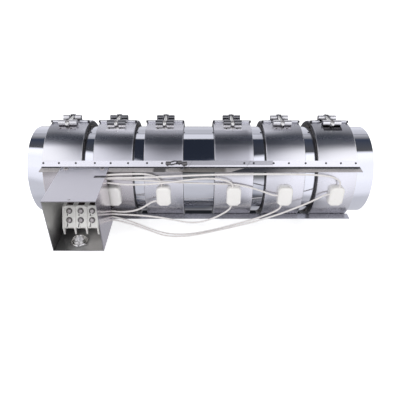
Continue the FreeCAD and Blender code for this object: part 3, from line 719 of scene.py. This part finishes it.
def apply_group(name, mesh, group, values, look):
    """Runs a group on a mesh once and keeps the plain result as a piece."""
    piece = link_object(name, mesh)
    modifier = piece.modifiers.new("copies", "NODES")
    modifier.node_group = group
    sockets = {item.name: item.identifier for item in group.interface.items_tree
               if item.in_out == "INPUT"}
    for label, value in {**values, "Material": MATERIALS[look]}.items():
        modifier[sockets[label]] = value
    graph = bpy.context.evaluated_depsgraph_get()
    result = bpy.data.meshes.new_from_object(piece.evaluated_get(graph))
    piece.modifiers.clear()
    piece.data = result
    result.name = name
    declare(piece, BODY)


def add_studs(name, places, radius, height, look):
    """Domed heads at (x, radius, angle) places round the tube, facing outwards."""
    mesh = bpy.data.meshes.new(name + "_places")
    points = [spin((x, -r, 0), angle) for x, r, angle in places]
    mesh.from_pydata([point * MM for point in points], [], [])
    facing = mesh.attributes.new("outwards", "FLOAT_VECTOR", "POINT")
    for item, point in zip(facing.data, points):
        item.vector = Vector((0, point.y, point.z)).normalized()
    apply_group(name, mesh, studs_group(), {"Radius": radius * MM, "Height": height * MM},
                look)


def shell_profile(x):
    """The closed section of a band's sheet, with rounded rims."""
    outer, inner = [[(inset, SHELL_RADIUS - RIM_DEPTH)]
                    + arc(RIM_CORNER, SHELL_RADIUS - RIM_CORNER, RIM_CORNER - inset, 180, 90, steps)
                    for inset, steps in ((0.0, 4), (SHEET, 3))]
    left, right = x - HALF_BAND, x + HALF_BAND
    return ([(left + u, v) for u, v in outer] + [(right - u, v) for u, v in reversed(outer)]
            + [(right - u, v) for u, v in inner] + [(left + u, v) for u, v in reversed(inner)])


def build_shell(number, x, group, settings):
    """One band's sheet shell with its turned lips, and the comb of tabs on its rims."""
    r = SHELL_RADIUS
    bm = bmesh.new()
    add_lathe(bm, shell_profile(x), SPLIT_END, SPLIT_START + 360, 150)
    for angle, z in ((SPLIT_START, 0.0), (SPLIT_END, -SHEET)):
        for a, b in ((x - HALF_BAND + 1.2, x - 19), (x + 19, x + HALF_BAND - 1.2)):
            add_box(bm, a, b, -r - 4, -r + SHEET, z, z + SHEET, angle)
    finish_piece("band_%d_cover" % number, bm, "shell_sheet",
                 replaces=("band_%d_shell" % number,))
    bm = bmesh.new()
    half = settings.tab_width / 2
    tab = [(-r + 3.6, -half), (-r + 3.6, half), (-r + 9.0, half), (-r + 10.2, half - 0.8),
           (-r + 10.2, -half + 0.8), (-r + 9.0, -half)]
    for side in (-1, 1):
        outer = x + side * HALF_BAND
        add_prism(bm, tab, *sorted((outer, outer - side * SHEET)))
    soften(bm, 0.18, 1)
    base = bake("tab", bm)
    sweep = SPLIT_START + 360 - SPLIT_END
    step = math.degrees(settings.tab_pitch / r)
    count = int(sweep / step)
    first = SPLIT_END + (sweep - (count - 1) * step) / 2
    apply_group("band_%d_rim_tabs" % number, base, group,
                {"Count": count, "First angle": first, "Step": step}, "rim_comb")
    bpy.data.meshes.remove(base)


def rounded_square(half, radius):
    """Corner points of a rounded square about a bar's centre, in order."""
    inset = half - radius
    points = []
    for quarter, (y, z) in enumerate(((1, 1), (-1, 1), (-1, -1), (1, -1))):
        points += arc(y * inset - BAR_RADIUS, z * inset, radius, 90 * quarter, 90 * quarter + 90, 6)
    return points


def add_strap(bm, x, angle, side, slot_half):
    """One strap: two loops on either side of its slot, and the slotted foot that joins them."""
    r = SHELL_RADIUS
    thick = r + STRAP_SHEET
    half_turn = math.degrees(LOOP_HALF / r)
    near, middle = angle - side * half_turn, angle + side * half_turn
    far = middle + side * math.degrees(STRAP_FOOT / r)
    cut = far - side * math.degrees(STRAP_FOOT_BRIDGE / r)
    outside = rounded_square(LOOP_HALF, 4.2)
    inside = rounded_square(LOOP_HALF - STRAP_SHEET, 3.2)
    for sign in (-1, 1):
        for inner, start, end in ((slot_half, near, middle), (FOOT_SLOT_HALF, middle, cut)):
            a, b = sorted((x + sign * inner, x + sign * STRAP_HALF))
            add_lathe(bm, rectangle(a, b, r, thick), start, end, 6)
        a, b = sorted((x + sign * slot_half, x + sign * STRAP_HALF))
        join(bm, [[spin((end, y, z), angle) for y, z in outline] for end, outline in
                  ((a, inside), (a, outside), (b, outside), (b, inside))], wrap=True)
    add_lathe(bm, rectangle(x - STRAP_HALF, x + STRAP_HALF, r, thick), far, cut, 3)


def screw_line(x):
    """The centres of a band's two bars, and the direction of its clamp screw."""
    front, rear = [spin((x, -BAR_RADIUS, 0), angle) for angle in (FRONT_BAR, REAR_BAR)]
    return front, rear, (rear - front).normalized()


def add_thread(bm, start, direction, length, sides=14):
    """A screw thread cut into a rod, with a pointed run-in."""
    along, side, across = axes_for(direction)
    rows = int(length / SCREW_PITCH * 6)
    loops = []
    for k in range(rows + 1):
        distance = length * k / rows
        lead_in = min(1.0, 0.72 + distance / (2.5 * SCREW_PITCH) * 0.28)
        loop = []
        for i, out in enumerate(circle(side, across, sides)):
            phase = (distance / SCREW_PITCH - i / sides) % 1.0
            reach = (SCREW_RADIUS - THREAD_DEPTH * abs(2 * phase - 1)) * lead_in
            loop.append(start + along * distance + out * reach)
        loops.append(loop)
    join(bm, loops)


def add_nut(bm, start, direction, flats, height, hole=0.0):
    """A hexagon with its corners chamfered at both ends, bored through if it has a hole."""
    corner = flats / math.sqrt(3)
    cut = (corner - flats / 2) * 0.55
    profile = [(0, flats * 0.48), (cut, corner), (height - cut, corner), (height, flats * 0.48)]
    if not hole:
        add_turned(bm, start, direction, profile, 6)
        return
    along, side, across = axes_for(direction)
    rings = []
    for i, out in enumerate(circle(side, across, 24)):
        to_flat = math.cos(math.pi / 6) / math.cos(math.radians((i % 4) * 15 - 30))
        outline = ([(0.4, hole), (0, hole + 0.4)]
                   + [(d, r * to_flat if r > flats / 2 else r) for d, r in profile]
                   + [(height, hole + 0.4), (height - 0.4, hole)])
        rings.append([Vector(start) + along * d + out * r for d, r in outline])
    join(bm, rings, wrap=True)


def build_screw(number, x):
    """The clamp screw with its thread and head."""
    front, rear, direction = screw_line(x)
    lean = math.radians(9.0)
    seat = rear + direction * (4.5 * (math.cos(lean) + math.sin(lean)) + 0.3)
    head = seat + direction * 1.5
    tip = front - direction * 12.0
    bm = bmesh.new()
    add_thread(bm, tip, direction, (head - tip).length - 6.0)
    add_turned(bm, head - direction * 6.2, direction, [(0, 2.5), (0.3, 2.95), (6.2, 2.95)], 20)
    add_nut(bm, head, direction, HEAD_FLATS, HEAD_HEIGHT)
    add_turned(bm, head + direction * (HEAD_HEIGHT - 0.2), direction,
               [(0, 4.2), (0.2, 4.1), (0.35, 3.2)])
    finish_piece("band_%d_hex_screw" % number, bm, "screw_steel", body="band_%d_screw" % number,
                 replaces=("band_%d_clamp_screw" % number,), sharp=28.0)


def cap_outline(shrink):
    """The outline of a terminal cap, arched at its top and chamfered below."""
    w, h, r, c = 14.0 - shrink, 20.5 - shrink, 9.0 - shrink, 5.5
    return ([(-w, -h + c), (-w + c, -h), (w - c, -h), (w, -h + c)]
            + arc(w - r, h - r, r, 0, 90, 6) + arc(-w + r, h - r, r, 90, 180, 6))


def add_slotted_head(bm, place, direction, radius, height, slot_turn):
    """A round slotted screw head: two half discs on a base, with the slot between them."""
    along, side, across = axes_for(direction)
    base = height * 0.5
    add_turned(bm, place, direction, [(0, radius * 0.92), (0.3, radius), (base, radius)], 28)
    turn = math.radians(slot_turn)
    u = side * math.cos(turn) + across * math.sin(turn)
    v = across * math.cos(turn) - side * math.sin(turn)
    slot = 0.16
    limit = math.degrees(math.asin(slot))
    half_disc = arc(0, 0, radius, limit, 180 - limit, 14)
    for flat, sign in ((-radius * slot, -1), (radius * slot, 1)):
        loops = []
        for depth, shrink in ((base - 0.05, 1.0), (height - 0.45, 0.99), (height - 0.12, 0.95),
                              (height, 0.88)):
            centre = place + along * depth + v * flat
            loops.append([centre + (u * a + v * (sign * b - flat)) * shrink for a, b in half_disc])
        join(bm, loops)


def lay_leads(scene):
    """Lay the eight heat-proof leads from their caps to the mounting plate"""
    diameter = scene.heater_settings.lead_diameter
    for name, (length, (x, z), route) in LEADS.items():
        points = route + [(x, y, z) for y in LEAD_END_Y]
        curve = bpy.data.curves.new(name + "_sleeve", "CURVE")
        curve.dimensions = "3D"
        curve.bevel_depth = diameter / 2 * MM
        curve.bevel_resolution = 4
        curve.resolution_u = 8
        curve.use_fill_caps = True
        spline = curve.splines.new("NURBS")
        spline.points.add(len(points) - 1)
        for spot, point in zip(spline.points, points):
            spot.co = [c * MM for c in point] + [1.0]
        spline.order_u = 3
        spline.use_endpoint_u = True
        curve.materials.append(MATERIALS["lead_sleeve"])
        lead = link_object(name + "_sleeve", curve)
        declare(lead, BODY, (name,))


def build_shells(scene):
    """Build the six band shells with rounded rims, combs of tabs and turned lips"""
    group = ring_group()
    for number, x in BANDS.items():
        build_shell(number, x, group, scene.heater_settings)


def build_clamps(scene):
    """Build the clamp straps, bars, hems, screws and their weld spots"""
    straps, bars, hems, ends, bushes = [bmesh.new() for _ in range(5)]
    low, high = -BAR_RADIUS - BAR_HALF, -BAR_RADIUS + BAR_HALF
    half = BAR_HALF * 0.98
    bush = [(0, 3.4), (0.7, 4.1), (2 * half - 0.7, 4.1), (2 * half, 3.4)]
    # Painted shade: dark caps close the hems' open ends and stand in for the shade inside them.
    hole_shade_cap = [(-1.6, 1.9), (-1.2, 2.5), (1.8, 2.65), (2.6, 2.3), (2.7, 1.2)]
    for x in BANDS.values():
        add_strap(straps, x, FRONT_BAR, -1, FRONT_SLOT_HALF)
        add_strap(straps, x, REAR_BAR, 1, REAR_SLOT_HALF)
        for a, b in ((-17, -3.7), (3.7, 17)):
            for angle in (FRONT_BAR, REAR_BAR):
                add_box(bars, x + a, x + b, low, high, -BAR_HALF, BAR_HALF, angle)
        add_box(bars, x - 3.6, x + 3.6, low + 6.2, high, -BAR_HALF, BAR_HALF, REAR_BAR)
        front, _, direction = screw_line(x)
        add_turned(bushes, front - direction * half, direction, bush)
        for left, tip, way in ((-36.2, 0.0, -1), (19.4, HEM_LENGTH, 1)):
            start = spin((x + left, -SHELL_RADIUS - 2.2, 1.2), SPLIT_START)
            add_pipe(hems, start, (1, 0, 0), HEM_LENGTH, 2.4, 1.75)
            add_turned(ends, start + Vector((tip, 0, 0)), (way, 0, 0), hole_shade_cap, 18)
    soften(bars, 1.1, 3)
    finish_piece("clamp_strap_sheets", straps, "clamp_sheet", replaces=("clamp_straps",))
    finish_piece("trunnion_bars", bars, "clamp_steel", replaces=("clamp_bars",))
    finish_piece("bar_bushes", bushes, "terminal_metal")
    finish_piece("split_hems", hems, "rim_sheet")
    finish_piece("hem_ends", ends, "rim_comb")
    for number, x in BANDS.items():
        build_screw(number, x)
    add_studs("weld_spots", [(x + u, SHELL_RADIUS + STRAP_SHEET, angle) for x in BANDS.values()
                             for angle in (FRONT_BAR - 7.4, REAR_BAR + 7.4) for u in (-12.5, 8.5)],
              1.9, 0.3, "weld_spot")


def build_caps(scene):
    """Build the six glazed terminal caps, with crowned faces and bare, unmarked sides"""
    for number, x in BANDS.items():
        bm = bmesh.new()
        join(bm, [[(x + u, depth, v) for u, v in cap_outline(shrink)] for depth, shrink in
                  ((-100.4, 0.4), (-101.4, 0.0), (-111.6, 0.0), (-113.2, 0.35), (-114.3, 1.2),
                   (-114.85, 2.4), (-115.0, 4.0))])
        finish_piece("band_%d_cap" % number, bm, "cap_ceramic",
                     replaces=("band_%d_terminal_cap" % number,), sharp=32.0)


def set_rivets(scene):
    """Set the rivets along the wiring rails"""
    add_studs("rail_rivets", [(x, SHELL_RADIUS + 1.2, angle) for angle, row in
                              (UPPER_RIVETS, LOWER_RIVETS) for x in row],
              2.0, 0.9, "rim_comb")


def build_terminals(scene):
    """Build the slotted terminal screws, their rings and the wire ends under them"""
    heads, rings, tongues, slits = [bmesh.new() for _ in range(4)]
    right = Vector((1, 0, 0))
    for pole, turns in zip((-1, 0, 1), ((58, -35), (48, 20), (64, -60))):
        for down, reach, slot_turn in zip((9.5, 26.5), (6.2, 10.5), turns):
            place = BLOCK_BROW + right * (pole * POLE_PITCH) + BLOCK_RUN * down
            for bm, height, outer, inner in ((rings, 1.0, 5.7, 5.0), (heads, 0.8, 4.9, 3.2),
                                             (rings, 1.5, 4.3, 3.2)):
                add_pipe(bm, place, BLOCK_OUT, height, outer, inner, 32)
            add_slotted_head(heads, place + BLOCK_OUT * 0.4, BLOCK_OUT, 3.7, 2.6, slot_turn)
            corner = place + BLOCK_RUN * 4.6 - right * 4.6
            # The dark strips laid on the tongues are painted shade standing in for their slits.
            for wide, length, inset, height, bm in ((4.6, reach, 0.0, 1.3, tongues),
                                                    (1.7, reach - 2.4, 1.2, 1.4, slits)):
                start = corner + right * inset + BLOCK_RUN * (inset * 0.9)
                lean = BLOCK_RUN * length - right * (0.2 * length)
                add_plate(bm, [start + right * (wide * a) + lean * b for a, b in
                               ((0, 0), (1, 0), (1, 0.9), (0.55, 1), (0, 0.9))],
                          BLOCK_OUT, (0.0, height))
    finish_piece("wire_tongues", tongues, "block_ceramic")
    finish_piece("tongue_slit_shades", slits, "rim_comb")
    finish_piece("slotted_screws", heads, "terminal_metal", replaces=("terminal_screws",),
                 sharp=32.0)
    finish_piece("terminal_rings", rings, "dark_steel", sharp=32.0)


def build_box_screws(scene):
    """Build the two cross-recessed screws that hold the box on the upper rail"""
    heads, marks = bmesh.new(), bmesh.new()
    for x, turn in ((-254.0, 15), (-186.0, 40)):
        place = Vector((x, BOX_SCREW_Y, BOX_TOP))
        add_turned(heads, place, UP, [(0, 4.4), (0.8, 4.4), (1.7, 3.9), (2.3, 2.8), (2.5, 1.2)], 28)
        # Painted shade: a dark cross laid on each head stands in for its recess.
        for quarter in (0, 90):
            a = math.radians(turn + quarter)
            along = Vector((math.cos(a), math.sin(a), 0)) * 2.5
            side = Vector((-math.sin(a), math.cos(a), 0)) * 0.5
            add_plate(marks, [place - along - side, place - along + side, place + along + side,
                              place + along - side], UP, (1.9, 2.62))
    finish_piece("box_screw_heads", heads, "terminal_metal", ("box_screws",),
                 sharp=34.0)
    finish_piece("box_screw_recess_shades", marks, "rim_comb")


def build_gland(scene):
    """Build the cable gland and its locknut"""
    body, nut = bmesh.new(), bmesh.new()
    add_nut(body, GLAND - UP * 5.0, UP, 31.0, 5.0, GLAND_BORE)
    add_pipe(body, GLAND - UP * 0.2, UP, 10.4, 11.9, GLAND_BORE, 40)
    for i in range(6):
        add_pipe(body, GLAND + UP * (1.4 + 1.45 * i), UP, 0.8, 12.4, 11.6, 40)
    add_nut(nut, GLAND + UP * 1.2, UP, 30.0, 5.0, 12.6)
    finish_piece("gland_body", body, "gland_metal", replaces=("cable_gland",), sharp=30.0)
    finish_piece("gland_nut", nut, "gland_metal", replaces=("gland_locknut",), sharp=30.0)


def build_clips(scene):
    """Build the small spring clips and their tabs on the middle of the upper rail"""
    clips, tabs, springs = [bmesh.new() for _ in range(3)]
    for x, y, z, long, outer in ((-67.0, -87.6, 59.6, 9.0, 3.4), (-44.0, -86.6, 61.5, 7.0, 3.0),
                                 (-35.5, -88.4, 59.2, 8.5, 3.8)):
        add_pipe(clips, (x, y, z), (1, -0.12, 0.08), long, outer, outer * 0.55, 18)
        add_turned(clips, (x + long * 0.3, y - 1.5, z - 1.0), (0.2, -1, -0.6),
                   [(0, 1.6), (0.4, 2.0), (2.6, 2.0), (3.0, 1.4)], 14)
    for x, wide in ((-66.0, 4.5), (-38.0, 7.5)):
        add_plate(tabs, [Vector((x + wide * a, y, z)) for a, y, z in
                         ((0, -90.4, 53.3), (1, -90.4, 53.3), (0.75, -98.5, 53.1),
                          (-0.2, -102.5, 53.0))], UP, (-0.6, 0.5))
    for route in ([(-62, -88, 61), (-55, -90, 64.5), (-50, -88, 66.5), (-43, -86.5, 62.5)],
                  [(-58, -91, 58), (-51, -92, 61), (-44, -90, 62), (-36, -89.5, 59.5)]):
        add_wire(springs, route, 0.9)
    finish_piece("rail_clips", clips, "dark_steel")
    finish_piece("clip_tabs", tabs, "rim_sheet")
    finish_piece("clip_springs", springs, "rim_comb")


def dress_carried(scene):
    """Give the CAD nodes that stay their materials"""
    for entry in frame["record"]["subparts"]:
        node = bpy.data.objects[entry["node"]]
        if node.hide_render:
            continue
        while len(node.material_slots) > 1:
            node.data.materials.pop()
        if not node.material_slots:
            node.data.materials.append(None)
        node.material_slots[0].link = "OBJECT"
        node.material_slots[0].material = MATERIALS[entry["material_slot"]]


def set_stage(scene):
    """Set the floor, the reflection sky, the light and the camera"""
    settings = scene.stage_settings
    add_floor()
    add_drum()
    light_world(scene, settings.fill)
    for name, place, size, share in (("key", (-0.5, -0.9, 1.25), 0.9, 1.0),
                                     ("back", (0.6, 0.8, 1.1), 1.0, 0.45),
                                     ("front", (0.15, -1.7, 0.35), 0.6, 0.5)):
        add_lamp(name, place, size, settings.key_power * share)
    add_camera(scene)
    scene.view_settings.view_transform = "Standard"


def add_floor():
    """White paper that glows for the camera, with the shade under the object."""
    bm = bmesh.new()
    bmesh.ops.create_grid(bm, x_segments=2, y_segments=2, size=4000.0)
    for vert in bm.verts:
        vert.co.z = FLOOR_Z
    floor = link_object("floor", bake("floor", bm))
    surface = Surface("floor_paper", (0.90, 0.90, 0.90), 0.9)
    path = surface.node("ShaderNodeLightPath")
    seen = Number(surface.tree, path.outputs["Is Camera Ray"])
    # Painted shadow: a dark patch on the floor under the tube, where the glow is taken out.
    under = surface.y.ramp(-35, -31) * surface.y.fall(0, 30) * surface.x.inside(-298, 298, 4)
    surface.blend(under, (0.03, 0.035, 0.045))
    surface.set("Emission Strength", seen * (1 - under) * 0.70)
    surface.set("Emission Color", (1.0, 1.0, 1.0, 1.0))
    floor.data.materials.append(surface.material)
    floor.visible_glossy = False


def add_drum():
    """A wide drum of soft panels that only shiny surfaces see."""
    bm = bmesh.new()
    ring = circle(Vector((0, DRUM_RADIUS, 0)), Vector((0, 0, DRUM_RADIUS)), 96)
    join(bm, [[(x, point.y, point.z) for point in ring] for x in (-DRUM_HALF, DRUM_HALF)],
         ends=False)
    drum = link_object("studio_panels", bake("studio_panels", bm))
    surface = Surface("panel_light", (0.0, 0.0, 0.0), 1.0)
    across = surface.x * MM
    turn = surface.z.angle_from(surface.y * -1.0) * (180 / math.pi)
    # The panels above the horizon close in towards the drum's ends.
    left = (-0.4 - across).maximum(0.0)
    right = (across - 0.05).maximum(0.0)
    spread = left * 2.0 + (right * 0.95).minimum(right * 0.45 + 0.28) + 1.0
    bent = PANEL_EDGE - (PANEL_EDGE - turn).maximum(0.0) * spread
    place = (bent + (turn - PANEL_EDGE).maximum(0.0)) * (1 / 360.0) + 0.5
    below = (-35.0 - turn).ramp(0.0, 20.0)
    side = ((across + 0.12).distance() - below * 0.45).ramp(0.15, 1.05)
    mix = surface.node("ShaderNodeMix", {0: side, 6: panel_ramp(surface, place, MIDDLE_PANELS),
                                         7: panel_ramp(surface, place, END_PANELS)},
                       data_type="RGBA")
    surface.set("Emission Color", mix.outputs[2])
    surface.set("Emission Strength", 1.0)
    surface.set("Specular IOR Level", 0.0)
    drum.data.materials.append(surface.material)
    for flag in ("camera", "diffuse", "shadow", "transmission", "volume_scatter"):
        setattr(drum, "visible_" + flag, False)


def panel_ramp(surface, place, stops):
    """The panels' colours by place: bluish where they are dark, near white elsewhere."""
    node = surface.node("ShaderNodeValToRGB", {"Fac": place})
    elements = node.color_ramp.elements
    for _ in stops[2:]:
        elements.new(0.5)
    for item, (degrees, level) in zip(elements, stops):
        item.position = degrees / 360.0 + 0.5
        tint = (0.74, 0.93, 1.45) if level < 0.1 else (0.975, 0.98, 1.06)
        item.color = tuple(level * c for c in tint) + (1.0,)
    return node.outputs["Color"]


def light_world(scene, fill):
    """White where the camera or a shiny surface looks, and an even fill elsewhere."""
    world = scene.world = bpy.data.worlds.new("studio")
    world.use_nodes = True
    tree = world.node_tree
    tree.nodes.clear()
    path = add_node(tree, "ShaderNodeLightPath").outputs
    camera, glossy, clear = [Number(tree, path[label]) for label in
                             ("Is Camera Ray", "Is Glossy Ray", "Is Transmission Ray")]
    even, white = [add_node(tree, "ShaderNodeBackground",
                            {"Color": (1.0, 1.0, 1.0, 1.0), "Strength": strength}).outputs[0]
                   for strength in (fill, 1.0)]
    mix = add_node(tree, "ShaderNodeMixShader",
                   {0: camera.maximum(glossy).maximum(clear), 1: even, 2: white})
    add_node(tree, "ShaderNodeOutputWorld", {"Surface": mix.outputs[0]})


def add_lamp(name, place, size, power):
    """A round soft lamp aimed at the middle of the object."""
    light = bpy.data.lights.new(name, "AREA")
    light.shape = "DISK"
    light.size = size
    light.energy = power
    lamp = link_object(name, light)
    lamp.location = place
    lamp.rotation_euler = (-Vector(place)).to_track_quat("-Z", "Y").to_euler()
    lamp.visible_glossy = False


def add_camera(scene):
    """The photograph's camera, from its place and its pitch, yaw and roll."""
    data = bpy.data.cameras.new("photo_view")
    data.sensor_width = 36.0
    data.lens = CAMERA_LENS
    data.clip_start = 0.01
    data.clip_end = 60.0
    pitch, yaw, roll = [math.radians(turn) for turn in CAMERA_TURNS]
    camera = scene.camera = link_object("photo_view", data)
    camera.matrix_world = (Matrix.Translation(Vector(CAMERA_PLACE) * MM)
                           @ Matrix.Rotation(-yaw, 4, "Z")
                           @ Matrix.Rotation(math.pi / 2 - pitch, 4, "X")
                           @ Matrix.Rotation(roll, 4, "Z"))


class HeaterSettings(bpy.types.PropertyGroup):
    """Choices that the pieces are built from."""

    tab_pitch: bpy.props.FloatProperty(name="Rim tab pitch", default=4.4, min=2.0, max=12.0)
    tab_width: bpy.props.FloatProperty(name="Rim tab width", default=3.3, min=1.0, max=10.0)
    lead_diameter: bpy.props.FloatProperty(name="Lead diameter", default=3.5, min=1.0, max=8.0)


class StageSettings(bpy.types.PropertyGroup):
    """Choices for the floor and the light."""

    key_power: bpy.props.FloatProperty(name="Key light power", default=7.0, min=0.0)
    fill: bpy.props.FloatProperty(name="Even light", default=0.62, min=0.0)


def make_step(run):
    """An operator that runs one function, whose docstring is its tip."""
    def execute(self, context):
        run(context.scene)
        return {"FINISHED"}

    name = run.__name__
    return type("HEATER_OT_" + name, (bpy.types.Operator,),
                {"__doc__": run.__doc__, "bl_idname": "heater." + name,
                 "bl_label": name.replace("_", " ").capitalize(),
                 "bl_options": {"REGISTER", "UNDO"}, "execute": execute})


STEPS = tuple(make_step(run) for run in (
    lay_leads, build_shells, build_clamps, build_caps, set_rivets, build_terminals,
    build_box_screws, build_gland, build_clips, dress_carried, set_stage))


class HEATER_PT_sidebar(bpy.types.Panel):
    """The heater's steps and settings in the sidebar"""

    bl_label = "Heater"
    bl_idname = "HEATER_PT_sidebar"
    bl_space_type = "VIEW_3D"
    bl_region_type = "UI"
    bl_category = "Heater"

    def draw(self, context):
        for owner in (context.scene.heater_settings, context.scene.stage_settings):
            for name in owner.__annotations__:
                self.layout.prop(owner, name)
        for step in STEPS:
            self.layout.operator(step.bl_idname)


CLASSES = (HeaterSettings, StageSettings) + STEPS + (HEATER_PT_sidebar,)


def register():
    for item in CLASSES:
        bpy.utils.register_class(item)
    bpy.types.Scene.heater_settings = bpy.props.PointerProperty(type=HeaterSettings)
    bpy.types.Scene.stage_settings = bpy.props.PointerProperty(type=StageSettings)


def unregister():
    del bpy.types.Scene.stage_settings
    del bpy.types.Scene.heater_settings
    for item in reversed(CLASSES):
        bpy.utils.unregister_class(item)


def main():
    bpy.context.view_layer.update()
    register()
    make_materials()
    for step in STEPS:
        if getattr(bpy.ops.heater, step.bl_idname.split(".")[1])() != {"FINISHED"}:
            raise RuntimeError(step.bl_label + " didn't finish")


if __name__ == "__main__":
    main()
